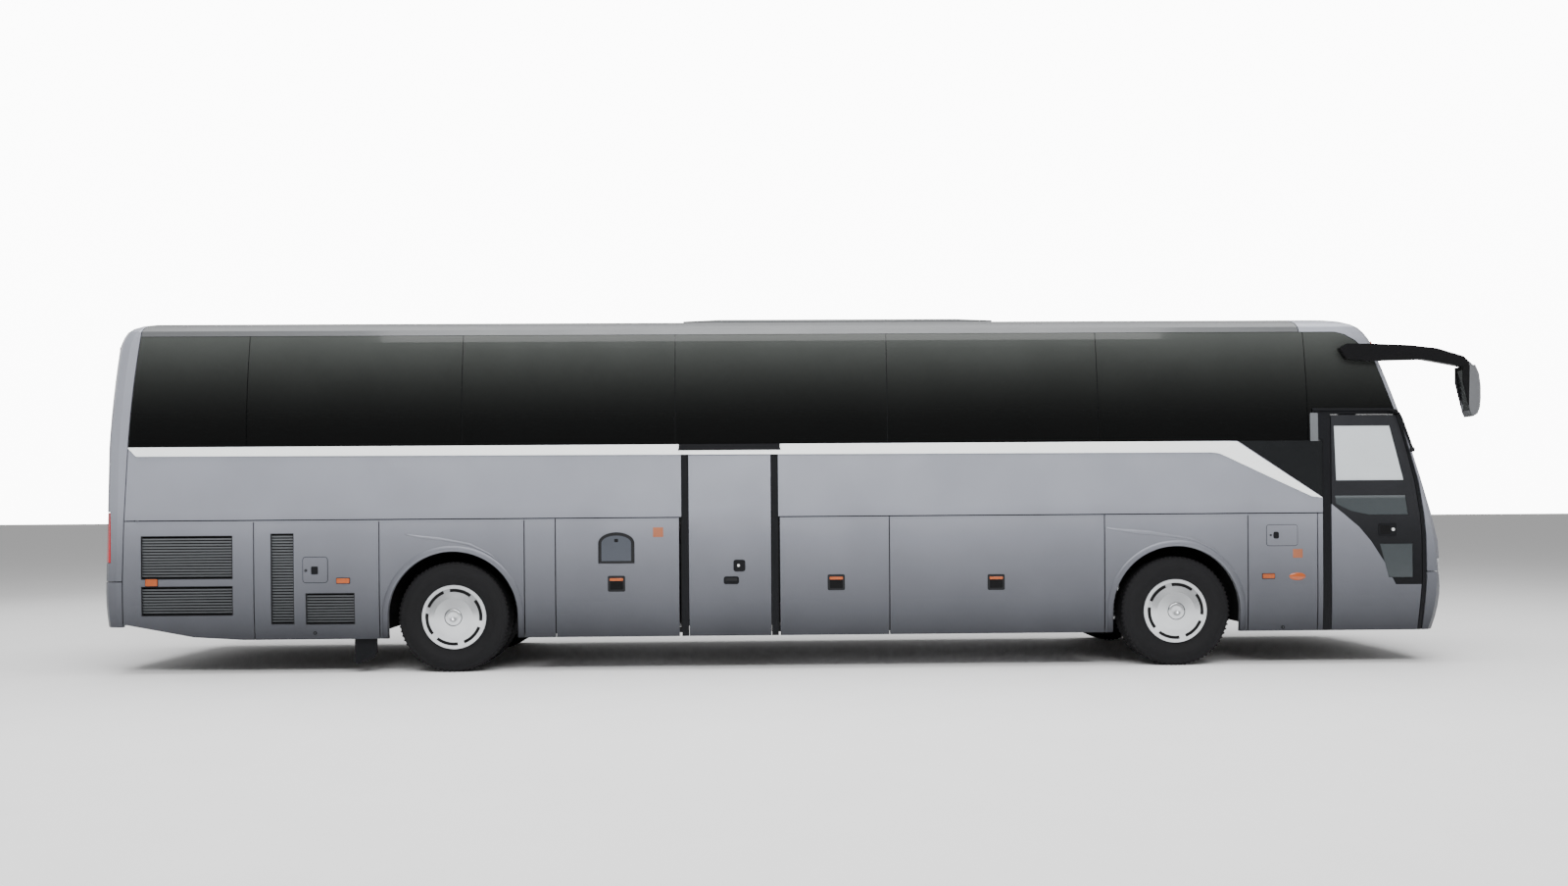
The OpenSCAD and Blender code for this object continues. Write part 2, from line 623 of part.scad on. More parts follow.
module roof_hatch(x) color([0.2, 0.2, 0.21]) {
  difference() {
    union() {
      box(x - hatch_l / 2 - hatch_lip, x + hatch_l / 2 + hatch_lip, -hatch_w / 2 - hatch_lip, hatch_w / 2 + hatch_lip,
        crown_z + seat_gap, crown_z + hatch_rise);
      box(x - hatch_l / 2 + 12, x + hatch_l / 2 - 40, -hatch_w / 2 + 12, hatch_w / 2 - 12, crown_z - 30, crown_z + 1);
    }
    box(x - hatch_l / 2 + 40, x + hatch_l / 2 - 70, -hatch_w / 2 + 40, hatch_w / 2 - 40, crown_z - 40, crown_z + 10);
  }
}

// ---- Glass band ----

// Joints between the side panes, from the rear
pane_first = tail_x + 1430;
pane_last = entry_x - 222;
pane_pitch = (pane_last - pane_first) / 5;
pane_joints = [for (i = [0:5]) pane_first + pane_pitch * i];
pane_gap = 8;
pillar_w = 84;

// Rear edge of the strip between the glass band and the front doorway
strip_x = post_x - 90;

// The glass band of one side, as it narrows to the A-pillar over the doorway
module band_end(back) {
  top = entry_top_z + 50 + seat_gap + back;
  polygon(concat([[strip_x - panel_gap - back, 0], [strip_x - panel_gap - back, top],
    [pillar[0][0] - panel_gap - back, top]],
    [for (p = pillar) [p[0] - panel_gap - back, p[1]]],
    [[entry_x + 60 - back, cant_z + 10], [9000, cant_z + 10], [9000, 0]]));
}

module window_frames() color(black_paint) both_sides() difference() {
  side_slab(-1, tail_x + 250, entry_x + 620, belt_z + seat_gap, cant_z - seat_gap, glass_t + seat_gap, wall_t - glass_t);
  through_side(-1) behind_rear_seam();
  through_side(-1) band_end(0);
  for (i = [0:4]) through_side(-1)
    rounded(pane_joints[i] + pillar_w / 2, pane_joints[i + 1] - pillar_w / 2, belt_z + 70, cant_z - 90, 50);
  through_side(-1) polygon([[rear_seam_x(belt_z) + 120, belt_z + 70], [pane_joints[0] - pillar_w / 2, belt_z + 70],
    [pane_joints[0] - pillar_w / 2, cant_z - 90], [rear_seam_x(cant_z - 90) + 120, cant_z - 90]]);
  through_side(-1) polygon([[pane_joints[5] + pillar_w / 2, entry_top_z + 120], [entry_x + 470, entry_top_z + 120],
    [entry_x + 330, 2830], [entry_x + 240, cant_z - 160], [entry_x + 160, cant_z - 110],
    [pane_joints[5] + pillar_w / 2, cant_z - 110]]);
}

module side_windows() color(dark_glass) both_sides() {
  for (i = [0:4]) side_slab(-1, pane_joints[i] + pane_gap / 2, pane_joints[i + 1] - pane_gap / 2,
    belt_z + 4, cant_z - 4, 0, glass_t);
  difference() {
    side_slab(-1, tail_x + 250, pane_joints[0] - pane_gap / 2, belt_z + 4, cant_z - 4, 0, glass_t);
    through_side(-1) behind_rear_seam();
  }
  difference() {
    side_slab(-1, pane_joints[5] + pane_gap / 2, entry_x + 620, belt_z + 4, cant_z - 4, 0, glass_t);
    through_side(-1) band_end(3);
  }
}

// ---- Waist and skirts ----

// The black quarter panel's slanted edge, from the belt down to the doorway
quarter_top = entry_x - 890;
quarter_low = [post_x, belt_z - 535];

module waist_panels() color(silver) difference() {
  union() {
    side_slab(-1, tail_x + 200, mid_frame[0] - 2, seam_z + panel_gap / 2, belt_z, 0, wall_t);
    side_slab(-1, mid_frame[1] + 2, post_x - 4, seam_z + panel_gap / 2, belt_z, 0, wall_t);
    side_slab(1, tail_x + 200, post_x - 4, seam_z + panel_gap / 2, belt_z, 0, wall_t);
  }
  for (side = [-1, 1]) {
    through_side(side) behind_rear_seam();
    through_side(side) polygon([[quarter_top, belt_z + 5], quarter_low, [post_x + 50, quarter_low[1]], [post_x + 50, belt_z + 5]]);
  }
}

module quarter_panels() color(black_paint) both_sides() intersection() {
  side_slab(-1, quarter_top - 20, post_x - 4, quarter_low[1] - 50, belt_z, 2, wall_t - 2);
  through_side(-1) polygon([[quarter_top + 10, belt_z + 5], [post_x + 2, quarter_low[1] + 8], [post_x + 2, belt_z + 5]]);
}

// A panel of the skirt between two joints: fixed, or a flap
module skirt(side, x0, x1) {
  side_slab(side, x0 + panel_gap / 2, x1 - panel_gap / 2, sill_z, seam_z - panel_gap / 2, 0, wall_t);
}

// A wheel arch cut through the skirt: round on top, straight down to the sill
module arch_cut(side, x) {
  through_side(side, 200) union() {
    translate([x, tyre_r + 12]) circle(r = arch_r);
    translate([x - arch_r, 0]) square([2 * arch_r, tyre_r + 12]);
  }
}

// Openings behind the air grilles: from and to along X, from and to in Z
grilles = [[engine_joint - 1027, engine_joint - 193, 882, 1281], [engine_joint - 1027, engine_joint - 193, 545, 817],
  [engine_joint + 155, engine_joint + 366, 460, 1297], [engine_joint + 472, engine_joint + 921, 455, 745]];

module skirt_panels() color(silver) for (side = [-1, 1]) {
  difference() {
    skirt(side, tail_x + 200, engine_joint);
    through_side(side) behind_rear_seam();
    // The lower edge rises towards the tail
    through_side(side) polygon([[tail_x, 0], [engine_joint + 1, 0], [engine_joint - 100, sill_z],
      [tail_x + 930, sill_z + 28], [tail_x + 330, sill_z + 145], [tail_x, sill_z + 145]]);
    for (g = [grilles[0], grilles[1]]) through_side(side, 200) rounded(g[0], g[1], g[2], g[3], 12);
  }
  difference() {
    skirt(side, engine_joint, arch_rear[0]);
    for (g = [grilles[2], grilles[3]]) through_side(side, 200) rounded(g[0], g[1], g[2], g[3], 12);
  }
  difference() {
    skirt(side, arch_rear[0], arch_rear[1]);
    arch_cut(side, rear_axle_x);
  }
  skirt(side, arch_rear[1], narrow_end);
  difference() {
    skirt(side, arch_front[0], arch_front[1]);
    arch_cut(side, front_axle_x);
  }
  skirt(side, arch_front[1], service_end);
  skirt(side, service_end, post_x);
}

// Black frames around the two doorways, with the bearings of the doors' posts
module door_frames() color(rubber_black) {
  frame_t = wall_t - 4;
  for (x = [mid_frame[0], mid_frame[1] - frame_w + 6])
    side_slab(-1, x, x + frame_w - 6, sill_z, mid_top_z + 12, 4, frame_t);
  side_slab(-1, mid_frame[0], mid_frame[1], mid_top_z + 11, belt_z - 50, 4, frame_t);
  side_slab(-1, mid_frame[0], mid_frame[1], belt_z - 51, belt_z, -1, wall_t + 1);
  side_slab(-1, mid_frame[0] - 20, mid_frame[1] + 20, belt_z - 50, belt_z, -14, 14 - seat_gap);
  // Front doorway: rear post, rail over the leaf, and the jamb ahead of it
  side_slab(-1, post_x, entry_x - 6, sill_z, entry_top_z + 12, 4, frame_t);
  side_slab(-1, strip_x, post_x + 1, belt_z + 5, entry_top_z + 12, 4, frame_t);
  intersection() {
    front_skin(entry_top_z + 11, entry_top_z + 50, 4, frame_t, post_x - 100);
    through_side(-1, 400) polygon([[strip_x, 0], [strip_x, 3000],
      [door_front[6][0] + jamb_gap + jamb_w, 3000], [door_front[6][0] + jamb_gap + jamb_w, 0]]);
  }
  intersection() {
    front_skin(sill_z, entry_top_z + 20, 4, 66, post_x);
    through_side(-1, 400) polygon(concat([for (p = door_front) [p[0] + jamb_gap, p[1]]],
      [for (i = [6:-1:0]) [door_front[i][0] + jamb_gap + jamb_w - panel_gap, door_front[i][1]]]));
  }
  for (z = post_ends) {
    bearing(entry_post, z, 1, entry_x + entry_w);
    bearing(mid_post, z, -1, mid_frame[0] + frame_w - 6);
  }
}

// A block with the bore of a door's turning post, held by the frame at x
post_ends = [450, 1290];
bearing_h = 34;
bearing_r = 34;
module bearing(post, z, way, x) difference() {
  union() {
    translate([post[0], post[1], z - bearing_h / 2]) cylinder(r = bearing_r, h = bearing_h);
    box(min(post[0], x), max(post[0], x), post[1] - 24, post[1] + 24, z - bearing_h / 2, z + bearing_h / 2);
    box(min(x, x + way * 20), max(x, x + way * 20), -side_in - 2, post[1] + 24, z - bearing_h / 2, z + bearing_h / 2);
  }
  translate([post[0], post[1], z - bearing_h]) cylinder(r = post_r + shaft_play, h = 2 * bearing_h);
}

module driver_window(grow) {
  polygon([[entry_x + 60 - grow, 1560 - grow], [entry_x + entry_w - 160 + grow, 1560 - grow],
    [entry_x + entry_w - 320 + grow, entry_top_z - 60 + grow], [entry_x + 60 - grow, entry_top_z - 60 + grow]]);
}

// Left side wall beside the driver, with a ledge for its window
module driver_side_panel() color(silver) difference() {
  intersection() {
    front_skin(sill_z, entry_top_z + 50, 0, wall_t, post_x - 200);
    through_side(1, 500) polygon(concat([[post_x + panel_gap / 2, sill_z - 10]],
      [for (p = door_front) [p[0] + jamb_gap + jamb_w - panel_gap, p[1]]],
      [[door_front[6][0] + jamb_gap + jamb_w - panel_gap, entry_top_z + 51],
       [strip_x, entry_top_z + 51], [strip_x, belt_z + 5], [post_x + panel_gap / 2, belt_z + 5]]));
  }
  through_side(1, 500) driver_window(3);
}

module driver_window_glass() color(dark_glass) intersection() {
  front_skin(1500, entry_top_z, 3, glass_t, post_x - 100);
  through_side(1, 500) driver_window(2.7);
}

// ---- Front ----

mask_low = 863;
screen_low = 1300;
screen_half = half_body - 170;

module screen_shape(grow) {
  top = cant_z - 40;
  polygon([[-screen_half - grow, screen_low - grow], [screen_half + grow, screen_low - grow],
    [screen_half - 40 + grow, top - 160], [screen_half - 110 + grow, top - 40], [screen_half - 190 + grow, top + grow],
    [190 - screen_half - grow, top + grow], [110 - screen_half - grow, top - 40], [40 - screen_half - grow, top - 160]]);
}

// Space ahead of the windscreen's plane: the cuts for the glass start here
screen_x = [entry_x + 260, nose_x + 100];

// A ledge behind an opening of the front, on which its glass or lamp sits
module front_ledge(z0, z1, inset) {
  front_skin(z0, z1, inset + seat_gap, wall_t - inset - seat_gap, entry_x - 40);
}

screen_t = 14;
module front_mask() color(silver) {
  difference() {
    front_hood(mask_low + panel_gap / 2, wall_t, roof_joint_x - 200);
    for (side = [-1, 1]) through_side(side, half_body + 1) behind_mask(0);
    through_end(screen_x[0], screen_x[1]) screen_shape(6);
    both_sides() through_end(screen_x[0], screen_x[1]) headlamp_shape(4);
  }
  difference() {
    intersection() {
      front_ledge(screen_low - 40, cant_z - 4, screen_t + 2);
      through_end(screen_x[0], screen_x[1]) difference() {
        screen_shape(7);
        screen_shape(-26);
      }
    }
    for (side = [-1, 1]) through_side(side, half_body + 1) behind_mask(0);
  }
}

module windscreen() color(dark_glass) intersection() {
  front_skin(screen_low - 20, cant_z - 20, 2, screen_t, entry_x - 40);
  through_end(screen_x[0], screen_x[1]) screen_shape(0);
}

module front_bumper() color(silver) {
  difference() {
    front_skin(sill_z, mask_low - panel_gap / 2, 0, wall_t, entry_x + entry_w - 100);
    bumper_ends();
    both_sides() through_end(screen_x[0], screen_x[1]) headlamp_shape(4);
  }
  difference() {
    intersection() {
      front_ledge(lamp_z[0] - 40, mask_low - panel_gap / 2, lamp_t + 3);
      both_sides() through_end(screen_x[0], screen_x[1]) difference() {
        headlamp_shape(5);
        headlamp_shape(-16);
      }
    }
    bumper_ends();
  }
}
module bumper_ends() {
  for (side = [-1, 1]) through_side(side, half_body + 1)
    polygon([[0, 0], each [for (p = door_front) [p[0] + jamb_gap + jamb_w, p[1]]], [0, 2500]]);
}

lamp_z = [640, 985];
lamp_t = 26;
module headlamp_shape(grow) {
  translate([half_body, 0]) polygon([[-575 - grow, lamp_z[0] + 40 - grow], [-235, lamp_z[0] - grow],
    [-75 + grow, lamp_z[0] + 90], [-40 + grow, lamp_z[1] + grow], [-275 - grow, lamp_z[1] - 40 + grow],
    [-515 - grow, lamp_z[1] - 150 + grow]]);
}

module headlamps() color(lamp_clear) intersection() {
  front_skin(lamp_z[0] - 30, lamp_z[1] + 30, 3, lamp_t, entry_x + 600);
  both_sides() through_end(screen_x[0], screen_x[1]) headlamp_shape(0);
}

// ---- Rear ----

lid_z = [rear_low + 25, 1760];
lid_half = 860;
rear_glass_z = [belt_z + 40, cant_z - 130];
tail_lamp_z = [1040, 1500];
tail_cut = [tail_x - 100, tail_x + 400];

module lid_shape(grow) {
  rounded(-lid_half - grow, lid_half + grow, lid_z[0] - grow, lid_z[1] + grow, 60);
}

module rear_glass_shape(grow) {
  rounded(-half_body + 230 - grow, half_body - 230 + grow, rear_glass_z[0] - grow, rear_glass_z[1] + grow, 90);
}

module tail_lamp_shape(grow) {
  polygon([[975 - grow, tail_lamp_z[0] + 90 - grow], [1130, tail_lamp_z[0] - grow], [half_body + 9, tail_lamp_z[0] - grow],
    [half_body + 9, tail_lamp_z[1] + grow], [1090 - grow, tail_lamp_z[1] + grow], [990 - grow, tail_lamp_z[1] - 60]]);
}

module rear_ledge(z0, z1, inset) {
  rear_skin(z0, z1, inset + seat_gap, wall_t - inset - seat_gap, tail_x + 700);
}

lamp_reach = tail_x + 175;
module rear_cap() color(silver) {
  difference() {
    rear_hood(rear_low + panel_gap / 2, wall_t, tail_x + 800);
    for (side = [-1, 1]) through_side(side, half_body + 1) ahead_of_rear_seam();
    through_end(tail_cut[0], tail_cut[1]) lid_shape(panel_gap / 2);
    through_end(tail_cut[0], tail_cut[1]) rear_glass_shape(5);
    both_sides() through_end(tail_cut[0], lamp_reach + 4) tail_lamp_shape(4);
  }
  intersection() {
    rear_ledge(rear_glass_z[0] - 40, rear_glass_z[1] + 40, glass_t + 2);
    through_end(tail_cut[0], tail_cut[1]) difference() {
      rear_glass_shape(6);
      rear_glass_shape(-24);
    }
  }
  intersection() {
    rear_ledge(tail_lamp_z[0] - 30, tail_lamp_z[1] + 30, lamp_t + 2);
    both_sides() through_end(tail_cut[0], lamp_reach + 30) difference() {
      tail_lamp_shape(6);
      tail_lamp_shape(-14);
    }
  }
}

module rear_window() color(dark_glass) intersection() {
  rear_skin(rear_glass_z[0] - 50, rear_glass_z[1] + 50, 2, glass_t, tail_x + 500);
  through_end(tail_cut[0], tail_cut[1]) rear_glass_shape(0);
}

module engine_lid() color(silver) intersection() {
  rear_skin(lid_z[0] - 20, lid_z[1] + 20, 0, wall_t, tail_x + 500);
  through_end(tail_cut[0], tail_cut[1]) lid_shape(-panel_gap / 2);
}

module tail_lamps() color(lamp_red) intersection() {
  rear_skin(tail_lamp_z[0] - 20, tail_lamp_z[1] + 20, 2, lamp_t, tail_x + 500);
  both_sides() through_end(tail_cut[0], lamp_reach) tail_lamp_shape(0);
}

module rear_bumper() color(silver) difference() {
  rear_skin(sill_z + 125, rear_low - panel_gap / 2, 0, wall_t, tail_x + 700);
  for (side = [-1, 1]) through_side(side, half_body + 1) ahead_of_rear_seam();
}

// ---- Mirrors ----

mirror_arm_y = half_body - 25;
mirror_arm_w = 60;
mirror_top_z = 2783;

// Outline of a mirror's arm from its foot on the pillar to the head, in X from the nose and Z
arm_top = [[-1110, 2962], [-1046, 3003], [-786, 3002], [-443, 2987], [-192, 2958], [59, 2883], [147, 2804], [165, 2790]];
arm_low = [[155, 2740], [45, mirror_top_z], [-334, 2852], [-824, 2841], [-1046, 2861]];

module mirrors() color(black_paint) both_sides() {
  difference() {
    translate([nose_x, -mirror_arm_y + mirror_arm_w / 2, 0]) rotate([90, 0, 0]) linear_extrude(mirror_arm_w)
      polygon(concat(arm_top, arm_low));
    front_skin(2600, cant_z, -seat_gap, 400, entry_x - 200);
    side_slab(-1, entry_x - 200, entry_x + 620, 2600, cant_z, -seat_gap, 300);
  }
  mirror_head();
}

// Head of a mirror: a housing that is open to the rear around its glass
head_y = [-half_body - 18, -half_body + 130];
module mirror_head() {
  difference() {
    translate([nose_x, head_y[1], 0]) rotate([90, 0, 0]) linear_extrude(head_y[1] - head_y[0])
      polygon([[50, mirror_top_z], [mirror_out - 50, mirror_top_z + 18], [mirror_out - 14, 2715], [mirror_out, 2600],
        [mirror_out, 2480], [mirror_out - 8, mirror_low_z + 85], [mirror_out - 32, mirror_low_z + 25],
        [mirror_out - 75, mirror_low_z], [120, mirror_low_z + 40], [50, 2640]]);
    translate([nose_x, head_y[1] - 14, 0]) rotate([90, 0, 0]) linear_extrude(head_y[1] - head_y[0] - 28)
      polygon([[0, mirror_top_z - 26], [70, mirror_top_z - 26], [134, mirror_low_z + 60], [0, mirror_low_z + 60]]);
  }
}

// ---- Cabin ----

dash_x = nose_curve(1300) - 120;
column_y = 620;
column_lean = 62;
column_foot = [dash_x - 300, 1200];
column_h = 250;
wheel_rim_r = 225;
module dashboard() color([0.12, 0.12, 0.13]) {
  box(dash_x - 330, dash_x - 60, -360, half_body - 190, platform_z + seat_gap, 1290);
  // Hood over the instruments
  box(dash_x - 380, dash_x - 120, column_y - 300, column_y + 300, 1180, 1340);
  translate([column_foot[0], column_y, column_foot[1]]) rotate([0, -column_lean, 0]) cylinder(r = 32, h = column_h);
}

module steering_wheel() color([0.08, 0.08, 0.085])
  translate([column_foot[0], column_y, column_foot[1]]) rotate([0, -column_lean, 0]) translate([0, 0, column_h + seat_gap]) {
    translate([0, 0, 40]) rotate_extrude() translate([wheel_rim_r, 0]) circle(r = 15);
    cylinder(r = 45, h = 46);
    for (a = [0, 120, 240]) rotate(a) translate([20, -17, 30]) cube([wheel_rim_r - 28, 34, 14]);
  }

// One seat: cushion, backrest and foot, drawn from the front edge of the cushion
module seat(width, foot_z) {
  low = foot_z + 330;
  translate([0, width, 0]) rotate([90, 0, 0]) linear_extrude(width) polygon([[0, low], [0, low + 110],
    [-450, low + 125], [-590, low + 720], [-690, low + 720], [-560, low + 90], [-500, low]]);
  box(-330, -130, 60, width - 60, foot_z + seat_gap, low + 1);
}

seat_front = entry_x - 420;
seat_w = 880;
seat_out = half_body - wall_t - post_d - 25;
module seats() color(seat_blue) {
  translate([dash_x - 640, column_y - 240, 0]) seat(480, platform_z);
  for (i = [0:seat_rows - 1]) {
    x = seat_front - i * seat_pitch;
    translate([x, seat_out - seat_w, 0]) seat(seat_w, floor_z);
    // No seats over the middle stairwell
    if (x - 750 > mid_frame[1] - 45 || x < mid_frame[0] + 25) translate([x, -seat_out, 0]) seat(seat_w, floor_z);
  }
}

// Overhead shelves along both sides, hung from the window frames
module luggage_racks() color([0.3, 0.3, 0.31]) both_sides() {
  in = half_w(cant_z - 60) - wall_t - glass_t;
  difference() {
    translate([tail_x + 520, 0, 0]) rotate([90, 0, 90]) linear_extrude(roof_joint_x - tail_x - 700)
      polygon([[-in - 60, cant_z - 88], [-in + 420, cant_z - 88], [-in + 420, cant_z - 40], [-in + 395, cant_z - 40],
        [-in + 395, cant_z - 70], [-in - 60, cant_z - 70]]);
    side_slab(-1, tail_x, nose_x, belt_z, cant_z, -60, wall_t + seat_gap * 2 + 60);
  }
}

module engine() color(steel_grey) difference() {
  box(tail_x + 560, tail_x + 1900, -rail_y + rail_w + seat_gap, rail_y - rail_w - seat_gap, 560, 1240);
  box(rear_rails[0], rear_rails[0] + 84, -rail_y, rail_y, 500, 1300);
}

// ---- Axles, wheels and steering ----

wheel_y = half_body - wheel_inset - tyre_w / 2;
kingpin_y = wheel_y - kingpin_offset;
inner_wheel_y = wheel_y - tyre_w - twin_gap;
boss_h = 150;
boss_r = 52;
fork_gap = 2;
ear_t = 28;
spring_y = rail_y - rail_w / 2 + 15;

module front_axle() color(steel_grey) translate([front_axle_x, 0, 0]) {
  // Dropped beam between the kingpin bosses
  box(-55, 55, -kingpin_y + 216, kingpin_y - 216, 350, 450);
  both_sides() {
    translate([0, -kingpin_y, 0]) difference() {
      union() {
        translate([0, 0, tyre_r - boss_h / 2]) cylinder(r = boss_r, h = boss_h);
        box(-42, 42, 30, 280, tyre_r - boss_h / 2 + 4, tyre_r + boss_h / 2 - 30);
        box(-55, 55, 215, 285, 351, tyre_r + 20);
      }
      translate([0, 0, 300]) cylinder(r = kingpin_r + shaft_play, h = 500);
    }
    // Arm to the air spring's piston
    box(-50, 280, -spring_y - 50, -spring_y + 50, 400, 449);
  }
}

// Knuckle: fork around the boss, kingpin, stub axle and steering arm. Drawn for the right side.
steer_arm_l = 190;
steer_arm_in = 60;
eye_r = 12;
arm_z = tyre_r - boss_h / 2 - fork_gap - ear_t - 28;
module knuckle_shape() {
  low = tyre_r - boss_h / 2 - fork_gap - ear_t;
  high = tyre_r + boss_h / 2 + fork_gap;
  for (z = [low, high]) {
    translate([0, 0, z]) cylinder(r = boss_r, h = ear_t);
    box(-40, 40, -110, 0, z, z + ear_t);
  }
  translate([0, 0, low + 1]) cylinder(r = kingpin_r, h = high + ear_t - low - 2);
  box(-50, 50, -110, -boss_r - 8, low - 1, high + ear_t + 1);
  translate([0, -100, tyre_r]) rotate([90, 0, 0]) cylinder(r = stub_r, h = kingpin_offset - 60);
  translate([0, -100, tyre_r]) rotate([90, 0, 0]) cylinder(r = stub_r + 20, h = 12);
  difference() {
    union() {
      box(-steer_arm_l, 20, steer_arm_in - 22, steer_arm_in + 22, arm_z, arm_z + 27);
      box(-30, 20, -30, steer_arm_in + 21, arm_z + 1, arm_z + 26);
      translate([0, 0, arm_z + 2]) cylinder(r = boss_r - 6, h = 30);
      translate([-steer_arm_l, steer_arm_in, arm_z]) cylinder(r = 30, h = 27);
    }
    translate([-steer_arm_l, steer_arm_in, arm_z - 60]) cylinder(r = eye_r + shaft_play, h = 120);
  }
}

module knuckle_right() color(steel_grey) translate([front_axle_x, -kingpin_y, 0]) knuckle_shape();
module knuckle_left() color(steel_grey) translate([front_axle_x, kingpin_y, 0]) mirror([0, 1, 0]) knuckle_shape();

tie_y = kingpin_y - steer_arm_in;
module tie_rod() color(steel_grey) translate([front_axle_x - steer_arm_l, 0, 0]) {
  translate([0, tie_y - 10, arm_z - 24]) rotate([90, 0, 0]) cylinder(r = 16, h = 2 * tie_y - 20);
  for (side = [-1, 1]) translate([0, side * tie_y, 0]) {
    translate([0, 0, arm_z - 43]) cylinder(r = 26, h = 42);
    // The pin stands in the left arm's eye only: the right eye is the linkage's open pivot
    translate([0, 0, arm_z - 2]) cylinder(r = eye_r, h = side > 0 ? 32 : 1.5);
  }
}

module rear_axle() color(steel_grey) translate([rear_axle_x, 0, tyre_r]) {
  translate([0, inner_wheel_y - 40, 0]) rotate([90, 0, 0]) cylinder(r = 68, h = 2 * inner_wheel_y - 80);
  translate([-150, 0, 0]) rotate([0, 90, 0]) cylinder(r = 175, h = 330);
  both_sides() {
    translate([0, -inner_wheel_y + 50, 0]) rotate([90, 0, 0]) cylinder(r = stub_r, h = wheel_y - inner_wheel_y + 82);
    // Arms to the air springs' pistons
    box(-340, 340, -spring_y - 50, -spring_y + 50, -60, -20);
  }
}

// Air springs between the axles' arms and the rails
module suspension() color(rubber_black) both_sides() {
  top = rail_z[0] - 15 - seat_gap;
  translate([spring_places[0], -spring_y, 0]) spring(449 + seat_gap, top, 60);
  for (i = [1, 2]) translate([spring_places[i], -spring_y, 0]) spring(tyre_r - 20 + seat_gap, top, 60);
}

module spring(z0, z1, r) {
  h = z1 - z0;
  rotate_extrude() polygon([[0, z0], [r * 0.7, z0], [r * 0.7, z0 + h * 0.25], [r, z0 + h * 0.4], [r, z0 + h * 0.58],
    [r * 0.86, z0 + h * 0.66], [r, z0 + h * 0.74], [r, z1 - 12], [r * 0.8, z1], [0, z1]]);
}

// A tyre's section, turned about its own axle: beads, side walls, shoulders and crown
module tyre() {
  w = tyre_w / 2;
  bead = rim_r + seat_gap;
  rotate([90, 0, 0]) rotate_extrude($fn = 96) polygon([
    [bead, -w + 38], [bead + 60, -w + 14], [bead + 120, -w], [tyre_r - 46, -w + 3], [tyre_r - 16, -w + 15],
    [tyre_r - 3, -w + 40], [tyre_r, -w + 80], [tyre_r, w - 80], [tyre_r - 3, w - 40],
    [tyre_r - 16, w - 15], [tyre_r - 46, w - 3], [bead + 120, w], [bead + 60, w - 14], [bead, w - 38]]);
}

// Steel rim with disc and hub, and its domed trim with arc slots. The outer face looks to -Y.
flange = 11;
trim_slots = 6;
module rim(hub_in) {
  w = tyre_w / 2;
  difference() {
    union() {
      rotate([90, 0, 0]) rotate_extrude($fn = 96) polygon([
        [rim_r - 26, -w + 34], [rim_r, -w + 34], [rim_r, w - 37], [rim_r + flange, w - 28], [rim_r + flange, w - 20],
        [rim_r - 14, w - 24], [rim_r - 14, w - 52], [rim_r - 22, w - 60], [rim_r - 26, w - 60]]);
      translate([0, -w + 90, 0]) rotate([90, 0, 0]) cylinder(r = rim_r - 20, h = 16);
      translate([0, -hub_in, 0]) rotate([90, 0, 0]) cylinder(r = 110, h = w - 60 - hub_in);
      // Domed trim
      difference() {
        rotate([90, 0, 0]) rotate_extrude($fn = 96) polygon([
          [0, w - 74.5], [110, w - 74.5], [110, w - 40], [rim_r - 50, w - 30], [rim_r - 15, w - 25], [rim_r + flange - 1, w - 21],
          [rim_r + flange - 2, w - 14], [rim_r - 20, w - 14], [rim_r - 56, w - 8], [rim_r - 110, w + 6], [70, w + 12], [0, w + 14]]);
        for (i = [0:trim_slots - 1]) rotate([0, i * 360 / trim_slots + 8, 0]) rotate([90, 0, 0]) translate([0, 0, w - 60])
          rotate_extrude(angle = 46, $fn = 96) translate([rim_r - 46, 0]) square([20, 100]);
      }
    }
    translate([0, -hub_in + 1, 0]) rotate([90, 0, 0]) cylinder(r = stub_r + shaft_play, h = w - 90 - hub_in);
  }
}

module wheel_place(x, side) {
  translate([x, side * wheel_y, tyre_r]) mirror([0, side > 0 ? 1 : 0, 0]) children();
}

module front_rim() {
  rim(-50);
}

// The twin wheel: the outer rim, and the inner rim on the same hub
module rear_rim() {
  w = tyre_w / 2;
  pitch = tyre_w + twin_gap;
  rim(-50);
  difference() {
    union() {
      translate([0, pitch, 0]) rotate([90, 0, 0]) rotate_extrude($fn = 96) polygon([
        [rim_r - 26, -w + 34], [rim_r, -w + 34], [rim_r, w - 34], [rim_r - 26, w - 34]]);
      translate([0, pitch - 60, 0]) rotate([90, 0, 0]) cylinder(r = rim_r - 20, h = 16);
      translate([0, pitch - 30, 0]) rotate([90, 0, 0]) cylinder(r = 112, h = pitch - 60);
    }
    translate([0, pitch + 100, 0]) rotate([90, 0, 0]) cylinder(r = stub_r + shaft_play, h = pitch + 200);
  }
}

// ---- Doors ----

module entry_leaf_shape() {
  polygon(concat(door_front, [[entry_x, entry_top_z + 1], [entry_x, sill_z - 1]]));
}

// Panes of the front door, drawn in X and Z
module entry_panes(grow) {
  polygon([[entry_x + 46 - grow, 1723 - grow], [entry_x + 681 + grow, 1723 - grow],
    [entry_x + 550 + grow, 2233 + grow], [entry_x + 28 - grow, 2233 + grow]]);
  polygon([[entry_x + 34 - grow, 1580 + grow], [entry_x + 42 - grow, 1505], [entry_x + 180, 1437 - grow],
    [entry_x + 350, 1399 - grow], [entry_x + 724 + grow, 1399 - grow], [entry_x + 697 + grow, 1580 + grow]]);
  polygon([[entry_x + 455 - grow, 1125 + grow], [entry_x + 764 + grow, 1125 + grow], [entry_x + 764 + grow, 812 - grow],
    [entry_x + 540 - grow, 812 - grow]]);
}

